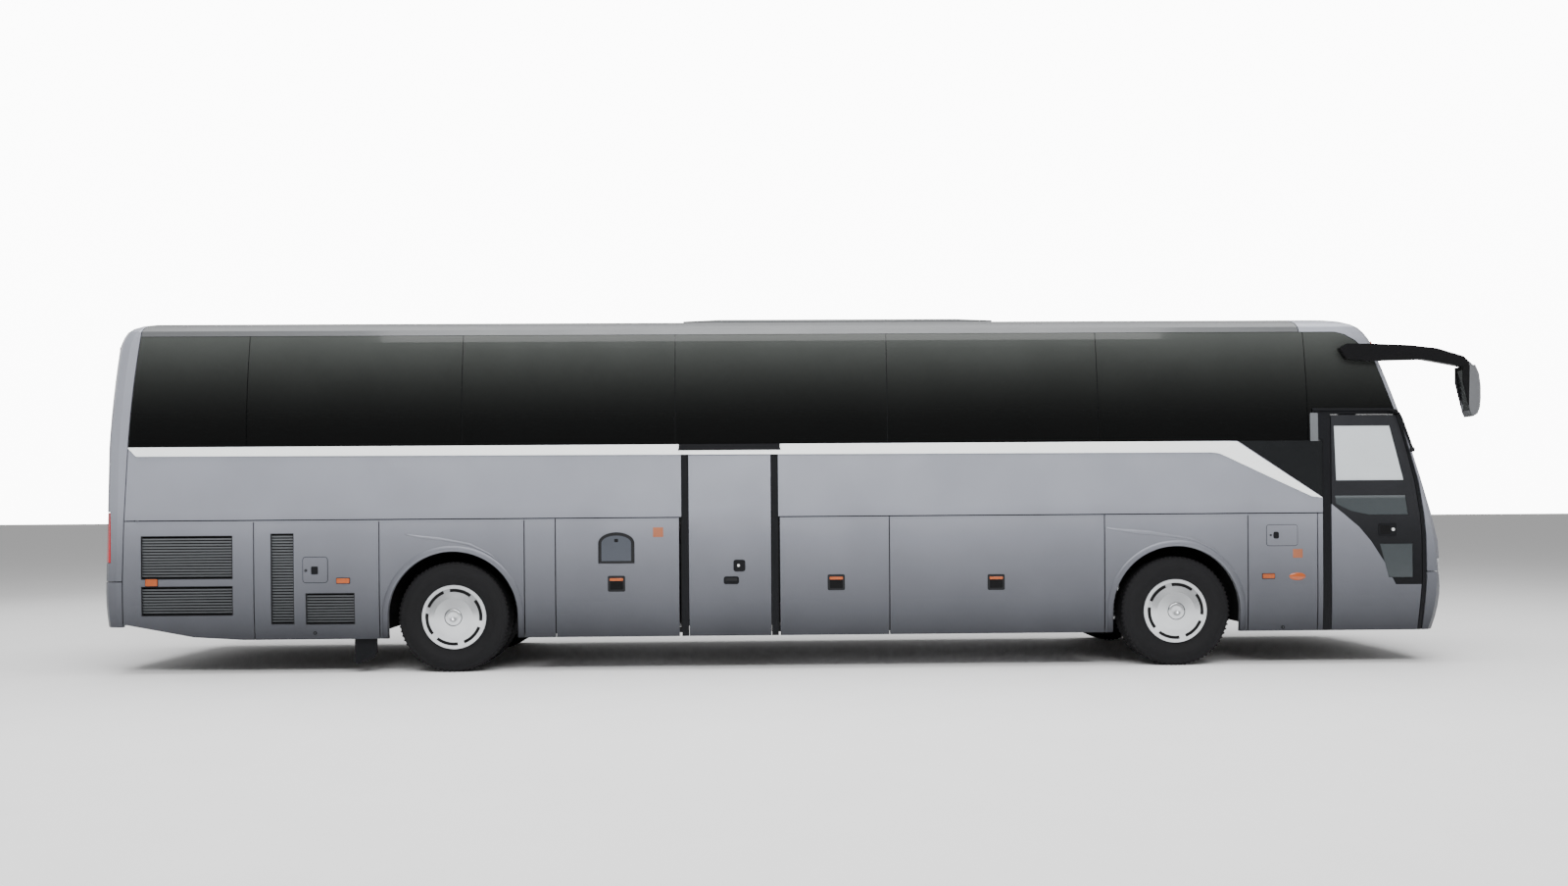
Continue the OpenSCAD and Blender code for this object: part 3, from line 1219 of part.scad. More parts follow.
door_panes = [4, 14];
module front_door() color(silver) {
  difference() {
    intersection() {
      front_skin(sill_z, entry_top_z, 0, wall_t, entry_x - 60);
      through_side(-1, 500) entry_leaf_shape();
    }
    through_side(-1, 500) entry_panes(3);
  }
  intersection() {
    front_skin(sill_z + 300, entry_top_z - 20, door_panes[1] + seat_gap, wall_t - door_panes[1] - seat_gap, entry_x - 60);
    through_side(-1, 500) difference() {
      entry_panes(4);
      entry_panes(-14);
    }
  }
  door_lugs(entry_bracket);
}

module front_door_glass() color(dark_glass) intersection() {
  front_skin(sill_z + 290, entry_top_z - 10, door_panes[0], door_panes[1] - door_panes[0], entry_x - 60);
  through_side(-1, 500) entry_panes(0);
}

// The turning post of a door, and the place on the leaf that its arms carry
post_clear = 52;
entry_post = [entry_x + entry_w - 95, -half_body + wall_t + post_clear];
entry_bracket = [entry_post[0] - door_arm, entry_post[1] - 20];
mid_post = [mid_x - mid_w / 2 + 62, -half_body + wall_t + post_clear];
mid_bracket = [mid_post[0] + door_arm, mid_post[1] - 20];
arm_heights = [620, 1180];
arm_t = 26;
pin_r = 10;
elbow = [95, 112];

// Post with two cranked arms. They crank inwards, to pass around the doorway's edge when open.
arm_w = 28;
module door_arms(post, bracket) {
  bend = [sign(bracket[0] - post[0]) * elbow[0], elbow[1]];
  end = bracket - post;
  u = bend / norm(bend);
  v = (end - bend) / norm(end - bend);
  // Half the arm's width, square to each leg and across the bend
  n = [-u[1], u[0]] * arm_w / 2;
  k = [-v[1], v[0]] * arm_w / 2;
  m = (n + k) / (1 + (n * k) * 4 / (arm_w * arm_w));
  translate([post[0], post[1], 0]) {
    translate([0, 0, post_ends[0] - bearing_h / 2 - 6]) cylinder(r = post_r, h = post_ends[1] - post_ends[0] + bearing_h + 12);
    for (z = arm_heights) difference() {
      union() {
        translate([0, 0, z]) linear_extrude(arm_t) polygon([-n, bend - m, end - k, end + k, bend + m, n]);
        translate([end[0], end[1], z - 1]) cylinder(r = 20, h = arm_t + 2);
      }
      translate([end[0], end[1], z - 20]) cylinder(r = pin_r + shaft_play, h = arm_t + 40);
    }
  }
}

// Lugs on a leaf, above and below each arm, with the pin between them
module door_lugs(bracket) {
  for (z = arm_heights) {
    for (lug = [z - 16, z + arm_t + 4])
      box(bracket[0] - 22, bracket[0] + 22, -side_in - 2, bracket[1] + 18, lug, lug + 12);
    translate([bracket[0], bracket[1], z - 15]) cylinder(r = pin_r, h = arm_t + 30);
  }
}

module front_door_arms() color(steel_grey) door_arms(entry_post, entry_bracket);
module middle_door_arms() color(steel_grey) door_arms(mid_post, mid_bracket);

module middle_door() color(silver) {
  side_slab(-1, mid_x - mid_w / 2, mid_x + mid_w / 2, sill_z, mid_top_z, 0, wall_t);
  door_lugs(mid_bracket);
}

// ---- Mudflaps ----

flap_t = 12;
// A flap behind each rear arch with a plate along its outer side, and a short one behind each front arch
module mudflaps() color(rubber_black) both_sides() {
  back = arch_rear[0] - 249;
  side_slab(-1, back, back + 202, sill_z + 12, sill_z + 112, wall_t + seat_gap, flap_t);
  translate([0, -half_body + 80, 0]) rotate([90, 0, 0]) linear_extrude(flap_t)
    polygon([[back, sill_z + 80], [back + 202, sill_z + 80], [back + 204, 190], [back + 180, 150],
      [back + 120, 115], [back + 30, 85], [back, 92]]);
  box(back, back + flap_t, -half_body + 79, -rail_y - 60, 110, sill_z + 60);
  box(arch_front[0] + 10 + seat_gap, arch_front[0] + 10 + flap_t, -half_body + 90, -rail_y - 60, sill_z + 8, 560);
}

chassis_frame();
tow_lugs();
body_frame();
saloon_floor();
luggage_bay();
wheel_arches();
entry_steps();
roof_shell();
roof_ac_cover();
window_frames();
union() {  // windows
  side_windows();
  rear_window();
  driver_window_glass();
}
waist_panels();
skirt_panels();
quarter_panels();
door_frames();
driver_side_panel();
front_mask();
windscreen();
front_bumper();
headlamps();
rear_cap();
rear_bumper();
tail_lamps();
mirrors();
mudflaps();
dashboard();
steering_wheel();
seats();
luggage_racks();
engine();
front_axle();
rear_axle();
suspension();
knuckle_left();
knuckle_right();
tie_rod();
color(chrome_grey) wheel_place(front_axle_x, 1) front_rim();  // rim_front_left
color(chrome_grey) wheel_place(front_axle_x, -1) front_rim();  // rim_front_right
color(chrome_grey) wheel_place(rear_axle_x, 1) rear_rim();  // rim_rear_left
color(chrome_grey) wheel_place(rear_axle_x, -1) rear_rim();  // rim_rear_right
color(rubber_black) wheel_place(front_axle_x, 1) tyre();  // tyre_front_left
color(rubber_black) wheel_place(front_axle_x, -1) tyre();  // tyre_front_right
color(rubber_black) wheel_place(rear_axle_x, 1) {  // tyre_rear_left
  tyre();
  translate([0, tyre_w + twin_gap, 0]) tyre();
}
color(rubber_black) wheel_place(rear_axle_x, -1) {  // tyre_rear_right
  tyre();
  translate([0, tyre_w + twin_gap, 0]) tyre();
}
front_door();
front_door_glass();
front_door_arms();
middle_door();
middle_door_arms();
color(silver) skirt(-1, flap_rear[0], flap_rear[1]);  // flap_right_rear
color(silver) skirt(-1, flap_middle_right[0], flap_middle_right[1]);  // flap_right_middle
color(silver) skirt(-1, flap_front[0], flap_front[1]);  // flap_right_front
color(silver) skirt(1, flap_rear[0], flap_rear[1]);  // flap_left_rear
color(silver) skirt(1, flap_middle_left[0], flap_middle_left[1]);  // flap_left_middle
color(silver) skirt(1, flap_front[0], flap_front[1]);  // flap_left_front
engine_lid();
roof_hatch(hatch_x[0]);  // roof_hatch_front
roof_hatch(hatch_x[1]);  // roof_hatch_rear
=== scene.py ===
"""Looks of a single-deck coach: finishes, trim, lamps, tyres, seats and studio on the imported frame."""
import json
import logging
import math
from dataclasses import dataclass, field
from enum import Enum
from typing import Sequence

import bmesh
import bpy
from mathutils import Euler, Matrix, Vector


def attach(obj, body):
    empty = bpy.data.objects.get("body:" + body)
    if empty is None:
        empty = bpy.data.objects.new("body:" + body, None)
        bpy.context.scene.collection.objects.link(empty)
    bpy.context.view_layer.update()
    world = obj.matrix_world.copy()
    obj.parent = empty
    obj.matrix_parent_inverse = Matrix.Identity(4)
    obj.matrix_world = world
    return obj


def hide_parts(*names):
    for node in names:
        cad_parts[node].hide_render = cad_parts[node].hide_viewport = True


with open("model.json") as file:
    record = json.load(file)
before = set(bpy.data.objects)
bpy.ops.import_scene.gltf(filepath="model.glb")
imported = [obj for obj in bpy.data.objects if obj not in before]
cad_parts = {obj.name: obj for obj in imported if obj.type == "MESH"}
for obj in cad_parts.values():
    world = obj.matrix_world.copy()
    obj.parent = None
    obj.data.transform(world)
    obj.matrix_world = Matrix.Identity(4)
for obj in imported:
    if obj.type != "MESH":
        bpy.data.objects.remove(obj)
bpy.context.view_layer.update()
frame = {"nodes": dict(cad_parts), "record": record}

LOG = logging.getLogger("coach")
FRONT_AXLE = 3.5825
REAR_AXLE = -3.1475
Point2 = tuple[float, float]
Point3 = tuple[float, float, float]
Colour = tuple[float, float, float]


class Side(Enum):
    """The two long sides, with the sign of Y."""

    RIGHT = -1
    LEFT = 1


class End(Enum):
    """The two ends, with the sign of X."""

    FRONT = 1
    REAR = -1


# ---------------------------------------------------------------- outer surface


@dataclass(frozen=True)
class Skin:
    """The body's outer surface, for trim that lies on it."""

    half: float = 1.275
    nose: float = 6.2425
    tail: float = -6.4575
    sill: float = 0.318
    tuck_top: float = 0.76
    tuck: float = 0.020
    belt: float = 2.098
    cant: float = 3.13
    tumblehome: float = 0.105
    front_corner: float = 0.300
    rear_corner: float = 0.230
    chin: float = 0.4
    nose_curve: float = 0.12
    screen_foot: float = 1.15
    screen_rake: float = 0.105
    screen_power: float = 1.145
    brow: float = 3.0
    brow_rake: float = 0.25
    heel: float = 0.2
    tail_rake: float = 0.028
    window_rake: float = 0.042

    def half_at(self, z: float) -> float:
        """Half width at height z.

        Args:
            z: height.

        Returns:
            The distance from the centre plane to the side.
        """
        low = max(0.0, self.tuck_top - z) / (self.tuck_top - self.sill)
        high = max(0.0, z - self.belt) / (self.cant - self.belt)
        return self.half - self.tuck * low * low - self.tumblehome * high * high

    def end_at(self, end: End, z: float) -> float:
        """X of the centre of an end at height z.

        Args:
            end: which end.
            z: height.

        Returns:
            X of the surface on the centre plane.
        """
        if end is End.FRONT:
            low = self.chin * max(0.0, self.tuck_top - z) ** 2
            mid = self.nose_curve * (min(self.screen_foot, max(self.tuck_top, z)) - self.tuck_top) ** 2
            rise = 1000 * max(0.0, min(z, self.brow) - self.screen_foot)
            high = self.screen_rake * rise ** self.screen_power / 1000
            return self.nose - low - mid - high - self.brow_rake * max(0.0, z - self.brow)
        low = self.heel * max(0.0, self.tuck_top - z) ** 2
        return (self.tail + low + self.tail_rake * max(0.0, z - self.tuck_top)
                + self.window_rake * max(0.0, z - self.belt))

    def x_at(self, end: End, y: float, z: float) -> float:
        """X of an end's surface at y and z.

        Args:
            end: which end.
            y: place across.
            z: height.

        Returns:
            X of the surface.
        """
        depth = self.front_corner if end is End.FRONT else self.rear_corner
        share = min(0.999, abs(y) / self.half_at(z))
        return self.end_at(end, z) - end.value * depth * (1 - (1 - share ** 3) ** (1 / 3))


SKIN = Skin()


# ---------------------------------------------------------------- shader groups


class NodeKit:
    """Short calls for building node trees."""

    def __init__(self, tree: bpy.types.NodeTree) -> None:
        """Works on one tree."""
        self.tree = tree

    def add(self, kind: str, **values: object) -> bpy.types.Node:
        """Adds a node and sets its properties.

        Args:
            kind: the node's type name.
            values: properties to set on the node.

        Returns:
            The new node.
        """
        node = self.tree.nodes.new(kind)
        for key, value in values.items():
            setattr(node, key, value)
        return node

    def link(self, source: bpy.types.NodeSocket, target: bpy.types.NodeSocket) -> None:
        """Links two sockets."""
        self.tree.links.new(source, target)

    def math(self, kind: str, a: object, b: object = 0.0, clamp: bool = False) -> bpy.types.NodeSocket:
        """A math node on numbers or sockets.

        Args:
            kind: the operation.
            a: first number or socket.
            b: second number or socket.
            clamp: keeps the result from 0 to 1.

        Returns:
            The result's socket.
        """
        node = self.add("ShaderNodeMath", operation=kind, use_clamp=clamp)
        for socket, value in zip(node.inputs, (a, b)):
            if isinstance(value, bpy.types.NodeSocket):
                self.link(value, socket)
            else:
                socket.default_value = float(value)
        return node.outputs[0]

    def remap(self, value: bpy.types.NodeSocket, low: float, high: float, a: float,
              b: float) -> bpy.types.NodeSocket:
        """Maps low..high onto a..b, clamped.

        Args:
            value: the socket to map.
            low: start of its range.
            high: end of its range.
            a: result at the start.
            b: result at the end.

        Returns:
            The result's socket.
        """
        node = self.add("ShaderNodeMapRange")
        self.link(value, node.inputs["Value"])
        for name, number in (("From Min", low), ("From Max", high), ("To Min", a), ("To Max", b)):
            node.inputs[name].default_value = number
        return node.outputs["Result"]


def group_tree(name: str, inputs: Sequence[tuple[str, str, float]],
               outputs: Sequence[tuple[str, str]]) -> tuple:
    """Starts a shader node group.

    Args:
        name: name of the group.
        inputs: name, socket type and default of each input.
        outputs: name and socket type of each output.

    Returns:
        The tree, its kit, its input node and its output node.
    """
    tree = bpy.data.node_groups.new(name, "ShaderNodeTree")
    for label, kind, default in inputs:
        socket = tree.interface.new_socket(label, in_out="INPUT", socket_type=kind)
        if kind == "NodeSocketFloat":
            socket.default_value = default
    for label, kind in outputs:
        tree.interface.new_socket(label, in_out="OUTPUT", socket_type=kind)
    kit = NodeKit(tree)
    return tree, kit, kit.add("NodeGroupInput"), kit.add("NodeGroupOutput")


def build_grain_group() -> bpy.types.NodeTree:
    """Fine surface grain: a height for bump, and a slow variation for colour and roughness.

    Returns:
        The node group.
    """
    tree, kit, start, end = group_tree(
        "surface_grain",
        [("Vector", "NodeSocketVector", 0), ("Scale", "NodeSocketFloat", 100.0),
         ("Patch Scale", "NodeSocketFloat", 2.0)],
        [("Height", "NodeSocketFloat"), ("Patch", "NodeSocketFloat")],
    )
    for scale, target, detail in (("Scale", "Height", 3.0), ("Patch Scale", "Patch", 4.0)):
        noise = kit.add("ShaderNodeTexNoise")
        kit.link(start.outputs["Vector"], noise.inputs["Vector"])
        kit.link(start.outputs[scale], noise.inputs["Scale"])
        noise.inputs["Detail"].default_value = detail
        kit.link(noise.outputs[0], end.inputs[target])
    return tree


def build_painted_reflection_group() -> bpy.types.NodeTree:
    """Painted dark reflection of the ground, a painted shade that grows towards the sill: Unshaded is 1 where
    none is painted, less where it lies.

    Returns:
        The node group.
    """
    tree, kit, start, end = group_tree(
        "painted_ground_reflection",
        [("Vector", "NodeSocketVector", 0), ("Strength", "NodeSocketFloat", 1.0)],
        [("Unshaded", "NodeSocketFloat"), ("Painted Reflection", "NodeSocketFloat")],
    )
    split = kit.add("ShaderNodeSeparateXYZ")
    kit.link(start.outputs["Vector"], split.inputs[0])
    noise = kit.add("ShaderNodeTexNoise")
    kit.link(start.outputs["Vector"], noise.inputs["Vector"])
    noise.inputs["Scale"].default_value = 1.3
    drift = kit.remap(noise.outputs[0], 0.3, 0.7, -0.03, 0.03)
    height = kit.math("ADD", split.outputs["Z"], drift)
    ramp = kit.add("ShaderNodeValToRGB")
    kit.link(kit.remap(height, 0.3, 2.1, 0.0, 1.0), ramp.inputs[0])
    # painted shade: strength of the painted ground reflection, 0.88 at the sill falling to 0 at 2.1 m
    stops = ((0.0, 0.88), (0.2, 0.70), (0.405, 0.52), (0.53, 0.38), (0.68, 0.14), (1.0, 0.0))
    for index, (place, value) in enumerate(stops):
        element = ramp.color_ramp.elements[index] if index < 2 else ramp.color_ramp.elements.new(place)
        element.position = place
        element.color = (value, value, value, 1)
    painted_reflection = kit.math("MULTIPLY", ramp.outputs[0], start.outputs["Strength"], clamp=True)
    kit.link(painted_reflection, end.inputs["Painted Reflection"])
    kit.link(kit.math("SUBTRACT", 1.0, painted_reflection), end.inputs["Unshaded"])
    return tree


def build_weave_group() -> bpy.types.NodeTree:
    """Woven cloth: the sum of two crossed waves as a height, and small spots as a colour mask.

    Returns:
        The node group.
    """
    tree, kit, start, end = group_tree(
        "cloth_weave",
        [("Vector", "NodeSocketVector", 0), ("Threads", "NodeSocketFloat", 300.0)],
        [("Height", "NodeSocketFloat"), ("Mask", "NodeSocketFloat")],
    )
    heights = []
    for axis in ("Y", "Z"):
        wave = kit.add("ShaderNodeTexWave", bands_direction=axis)
        kit.link(start.outputs["Vector"], wave.inputs["Vector"])
        kit.link(start.outputs["Threads"], wave.inputs["Scale"])
        heights.append(wave.outputs["Fac"])
    total = kit.math("ADD", heights[0], heights[1])
    kit.link(total, end.inputs["Height"])
    spots = kit.add("ShaderNodeTexVoronoi")
    kit.link(start.outputs["Vector"], spots.inputs["Vector"])
    spots.inputs["Scale"].default_value = 24.0
    kit.link(kit.remap(spots.outputs["Distance"], 0.15, 0.3, 1.0, 0.0), end.inputs["Mask"])
    return tree


GRAIN = build_grain_group()
PAINTED_REFLECTION = build_painted_reflection_group()
WEAVE = build_weave_group()


# ---------------------------------------------------------------- finishes


@dataclass(frozen=True)
class Finish:
    """A plain finish: base colour with patchy variation, grain in the bump, and painted shade low down from a
    painted dark reflection of the ground.
    """

    name: str
    colour: Colour
    roughness: float = 0.5
    metallic: float = 0.0
    coat: float = 0.0
    coat_roughness: float = 0.08
    grain: float = 300.0
    bump: float = 0.0
    patch: float = 0.06
    # strength of the painted dark ground reflection: painted shade on colour, coat and specular towards the
    # sill
    painted_reflection: float = 0.0
    specular: float = 0.5
    # painted glow: emission in the base colour, a painted highlight on parts that are no lamp
    painted_glow: float = 0.0

    def start(self) -> tuple:
        """Makes the material with its shader.

        Returns:
            The material, its kit, the shader node and the Object coordinates' socket.
        """
        material = bpy.data.materials.new(self.name)
        material.use_nodes = True
        material.node_tree.nodes.clear()
        kit = NodeKit(material.node_tree)
        shader = kit.add("ShaderNodeBsdfPrincipled")
        kit.link(shader.outputs[0], kit.add("ShaderNodeOutputMaterial").inputs[0])
        shader.inputs["Metallic"].default_value = self.metallic
        shader.inputs["Coat Weight"].default_value = self.coat
        shader.inputs["Coat Roughness"].default_value = self.coat_roughness
        shader.inputs["Specular IOR Level"].default_value = self.specular
        # painted glow: emission in the base colour, which lights parts that are no lamp
        shader.inputs["Emission Color"].default_value = (*self.colour, 1)
        shader.inputs["Emission Strength"].default_value = self.painted_glow
        return material, kit, shader, kit.add("ShaderNodeTexCoord").outputs["Object"]

    def tint(self, kit: NodeKit, base: object, place: bpy.types.NodeSocket, shader: bpy.types.Node) -> None:
        """Feeds colour, roughness and bump from the shared groups.

        Args:
            kit: the material's kit.
            base: the colour, or a socket that gives it.
            place: the Object coordinates.
            shader: the material's shader.
        """
        grain = kit.add("ShaderNodeGroup", node_tree=GRAIN)
        kit.link(place, grain.inputs["Vector"])
        grain.inputs["Scale"].default_value = self.grain
        shade = kit.remap(grain.outputs["Patch"], 0.3, 0.7, 1 - self.patch, 1 + self.patch)
        # painted shade: the painted ground reflection darkens the colour and dims coat and specular low down
        if self.painted_reflection:
            painted_reflection = kit.add("ShaderNodeGroup", node_tree=PAINTED_REFLECTION)
            kit.link(place, painted_reflection.inputs["Vector"])
            painted_reflection.inputs["Strength"].default_value = self.painted_reflection
            shade = kit.math("MULTIPLY", shade, painted_reflection.outputs["Unshaded"])
            for name in ("Coat Weight", "Specular IOR Level"):
                gloss = kit.math("MULTIPLY", painted_reflection.outputs["Unshaded"], shader.inputs[name].default_value)
                kit.link(gloss, shader.inputs[name])
        scale = kit.add("ShaderNodeVectorMath", operation="SCALE")
        if isinstance(base, bpy.types.NodeSocket):
            kit.link(base, scale.inputs[0])
        else:
            scale.inputs[0].default_value = base
        kit.link(shade, scale.inputs["Scale"])
        kit.link(scale.outputs[0], shader.inputs["Base Color"])
        kit.link(kit.remap(grain.outputs["Patch"], 0.3, 0.7, self.roughness * 0.88,
                           min(1.0, self.roughness * 1.12)),
                 shader.inputs["Roughness"])
        if self.bump:
            bump = kit.add("ShaderNodeBump")
            bump.inputs["Strength"].default_value = 0.5
            bump.inputs["Distance"].default_value = self.bump
            kit.link(grain.outputs["Height"], bump.inputs["Height"])
            kit.link(bump.outputs[0], shader.inputs["Normal"])

    def make(self) -> bpy.types.Material:
        """Builds the material.

        Returns:
            The material.
        """
        material, kit, shader, place = self.start()
        self.tint(kit, self.colour, place, shader)
        return material


@dataclass(frozen=True)
class Glass(Finish):
    """Tinted glass: body colour at its foot, lightening to the top colour at its head as a painted sky
    reflection, with a clear coat of gloss.
    """

    low: float = 2.1
    high: float = 3.1
    # colour at the head: a painted reflection of the bright sky
    top: Colour = (0.08, 0.08, 0.08)
    alpha: float = 1.0
    bend: float = 1.0

    def make(self) -> bpy.types.Material:
        """Builds the material.

        Returns:
            The material.
        """
        material, kit, shader, place = self.start()
        split = kit.add("ShaderNodeSeparateXYZ")
        kit.link(place, split.inputs[0])
        mix = kit.add("ShaderNodeMix", data_type="RGBA")
        # painted reflection: the glass grows lighter from its low height to its high one
        rise = kit.math("POWER", kit.remap(split.outputs["Z"], self.low, self.high, 0.0, 1.0), self.bend)
        kit.link(rise, mix.inputs[0])
        mix.inputs[6].default_value = (*self.colour, 1)
        mix.inputs[7].default_value = (*self.top, 1)
        self.tint(kit, mix.outputs[2], place, shader)
        shader.inputs["Alpha"].default_value = self.alpha
        return material


@dataclass(frozen=True)
class Cloth(Finish):
    """Woven seat cloth with small lighter spots."""

    spot: Colour = (0.2, 0.22, 0.4)

    def make(self) -> bpy.types.Material:
        """Builds the material.

        Returns:
            The material.
        """
        material, kit, shader, place = self.start()
        weave = kit.add("ShaderNodeGroup", node_tree=WEAVE)
        kit.link(place, weave.inputs["Vector"])
        mix = kit.add("ShaderNodeMix", data_type="RGBA")
        kit.link(weave.outputs["Mask"], mix.inputs[0])
        mix.inputs[6].default_value = (*self.colour, 1)
        mix.inputs[7].default_value = (*self.spot, 1)
        self.tint(kit, mix.outputs[2], place, shader)
        bump = kit.add("ShaderNodeBump")
        bump.inputs["Distance"].default_value = 0.0008
        kit.link(weave.outputs["Height"], bump.inputs["Height"])
        kit.link(bump.outputs[0], shader.inputs["Normal"])
        shader.inputs["Sheen Weight"].default_value = 0.4
        return material


@dataclass(frozen=True)
class TwoTone(Finish):
    """Two colours of paint, parted by a curve in X and Z: the second lies above it."""

    upper: Colour = (0.02, 0.021, 0.025)
    curve: tuple[Point2, ...] = ()

    def make(self) -> bpy.types.Material:
        """Builds the material.

        Returns:
            The material.
        """
        material, kit, shader, place = self.start()
        split = kit.add("ShaderNodeSeparateXYZ")
        kit.link(place, split.inputs[0])
        xs, zs = [p[0] for p in self.curve], [p[1] for p in self.curve]
        ramp = kit.add("ShaderNodeFloatCurve")
        line = ramp.mapping.curves[0]
        for index, (x, z) in enumerate(self.curve):
            spot = ((x - xs[0]) / (xs[-1] - xs[0]), (z - min(zs)) / (max(zs) - min(zs)))
            if index < 2:
                line.points[index].location = spot
            else:
                line.points.new(*spot)
        for point in line.points:
            point.handle_type = "VECTOR"
        ramp.mapping.update()
        kit.link(kit.remap(split.outputs["X"], xs[0], xs[-1], 0.0, 1.0), ramp.inputs["Value"])
        edge = kit.math("ADD", kit.math("MULTIPLY", ramp.outputs[0], max(zs) - min(zs)), min(zs))
        above = kit.math("MULTIPLY", kit.math("SUBTRACT", split.outputs["Z"], edge), 400.0)
        mix = kit.add("ShaderNodeMix", data_type="RGBA")
        kit.link(kit.math("ADD", above, 0.5, clamp=True), mix.inputs[0])
        mix.inputs[6].default_value = (*self.colour, 1)
        mix.inputs[7].default_value = (*self.upper, 1)
        self.tint(kit, mix.outputs[2], place, shader)
        return material


SILVER = (0.365, 0.38, 0.435)
DOOR_EDGE = ((5.0, 1.56), (5.05, 1.50), (5.16, 1.411), (5.308, 1.285), (5.419, 1.152), (5.549, 0.949),
             (5.651, 0.745), (5.95, 0.744))
MIRROR_EDGE = ((5.0, 2.2), (6.34, 2.2), (6.365, 3.2), (6.6, 3.2))

FINISHES: dict[str, Finish] = {
    # silver_paint and door_paint carry the full painted dark ground reflection (the 1.0 before specular):
    # painted shade towards the sill
    "silver_paint": Finish("silver_paint", SILVER, 0.40, 0.35, 0.35, 0.1, 900.0, 0.00004, 0.025, 1.0, 0.4),
    "door_paint": TwoTone("door_paint", SILVER, 0.40, 0.35, 0.35, 0.1, 900.0, 0.00004, 0.025, 1.0, 0.4,
                          curve=DOOR_EDGE),
    # mirror_shell: its silver is the body silver darkened as painted shade; the black upper tone is real
    # two-tone paint
    "mirror_shell": TwoTone("mirror_shell", (0.17, 0.175, 0.185), 0.3, 0.3, 0.3, 0.06, 700.0, 0.00003, 0.03,
                            specular=0.2, upper=(0.006, 0.006, 0.007), curve=MIRROR_EDGE),
    "roof_paint": Finish("roof_paint", (0.115, 0.12, 0.125), 0.45, 0.3, 0.3, 0.1, 900.0, 0.00004, 0.03),
    # painted highlight: the white base and the glow paint the bright light on a silver ledge, which is no
    # lamp
    "ledge_white": Finish("ledge_white", (0.92, 0.95, 0.945), 0.3, 0.0, 0.4, 0.05, 600.0, 0.0, 0.01,
                          painted_glow=0.4),
    "black_paint": Finish("black_paint", (0.008, 0.009, 0.010), 0.25, 0.0, 0.25, 0.05, 700.0, 0.00003, 0.08,
                          specular=0.2),
    "hatch_grey": Finish("hatch_grey", (0.070, 0.078, 0.095), 0.5, 0.2, grain=600.0, bump=0.0002, patch=0.08,
                         specular=0.3),
    "seal_rubber": Finish("seal_rubber", (0.006, 0.0065, 0.008), 0.6, grain=420.0, bump=0.0003, patch=0.12,
                          specular=0.15),
    "liner": Finish("liner", (0.006, 0.006, 0.0065), 0.85, grain=180.0, bump=0.0012, patch=0.2,
                    specular=0.15),
    "black_plastic": Finish("black_plastic", (0.010, 0.0105, 0.012), 0.5, grain=700.0, bump=0.0004, patch=0.1,
                            specular=0.25),
    "frame_steel": Finish("frame_steel", (0.018, 0.018, 0.019), 0.6, 0.2, grain=160.0, bump=0.0006, patch=0.2,
                          specular=0.3),
    "axle_steel": Finish("axle_steel", (0.05, 0.05, 0.052), 0.55, 0.5, grain=120.0, bump=0.0008, patch=0.25),
    "bay_lining": Finish("bay_lining", (0.3, 0.3, 0.31), 0.45, 0.6, grain=60.0, bump=0.0004, patch=0.12),
    "floor": Finish("floor", (0.10, 0.095, 0.09), 0.7, grain=260.0, bump=0.0008, patch=0.15),
    # grille_slat carries the painted dark ground reflection at 0.6: painted shade towards the sill
    "grille_slat": Finish("grille_slat", (0.15, 0.16, 0.17), 0.45, 0.3, 0.1, 0.2, 300.0, 0.0001, 0.1, 0.6),
    "chrome": Finish("chrome", (0.72, 0.735, 0.75), 0.16, 1.0, grain=500.0, bump=0.00003, patch=0.04),
    "rim_steel": Finish("rim_steel", (0.70, 0.72, 0.74), 0.24, 0.85, 0.15, 0.1, 260.0, 0.00008, 0.08),
    "tyre": Finish("tyre", (0.0085, 0.0085, 0.0095), 0.75, grain=240.0, bump=0.0007, patch=0.25,
                   specular=0.2),
    "amber": Finish("amber", (0.42, 0.085, 0.014), 0.25, 0.0, 0.5, 0.05, 500.0, 0.0004, 0.12),
    "lamp_red": Finish("lamp_red", (0.50, 0.010, 0.018), 0.14, 0.0, 0.6, 0.04, 320.0, 0.0004, 0.1),
    "label": Finish("label", (0.34, 0.11, 0.05), 0.5, 0.0, 0.3, 0.1, 200.0, 0.0, 0.2),
    "white_plastic": Finish("white_plastic", (0.7, 0.71, 0.71), 0.35, grain=500.0, bump=0.0001, patch=0.03),
    # tinted_glass and screen_glass: the paler top colour is a painted sky reflection
    "tinted_glass": Glass("tinted_glass", (0.002, 0.0022, 0.0022), 0.10, 0.0, 0.12, 0.03, 300.0, 0.0, 0.05,
                          top=(0.062, 0.067, 0.063), specular=0.12, bend=2.6),
    "screen_glass": Glass("screen_glass", (0.012, 0.013, 0.014), 0.05, 0.0, 0.4, 0.02, 300.0, 0.0, 0.04,
                          low=1.3, high=3.1, top=(0.05, 0.052, 0.05), alpha=0.82, specular=0.4),
    # door_glass: the pale colour above 1.75 m is a painted reflection
    "door_glass": Glass("door_glass", (0.055, 0.065, 0.07), 0.08, 0.1, 0.3, 0.03, 300.0, 0.0, 0.04,
                        low=1.55, high=1.75, top=(0.72, 0.77, 0.80), alpha=0.94),
    "lamp_clear": Glass("lamp_clear", (0.7, 0.73, 0.76), 0.05, 0.0, 0.8, 0.02, 400.0, 0.0, 0.03,
                        low=0.6, high=1.0, top=(0.8, 0.82, 0.85), alpha=0.35),
    "mirror_glass": Finish("mirror_glass", (0.82, 0.85, 0.87), 0.03, 1.0, grain=300.0, bump=0.0, patch=0.02),
    "seat_cloth": Cloth("seat_cloth", (0.022, 0.026, 0.07), 0.9, grain=500.0, patch=0.1),
}


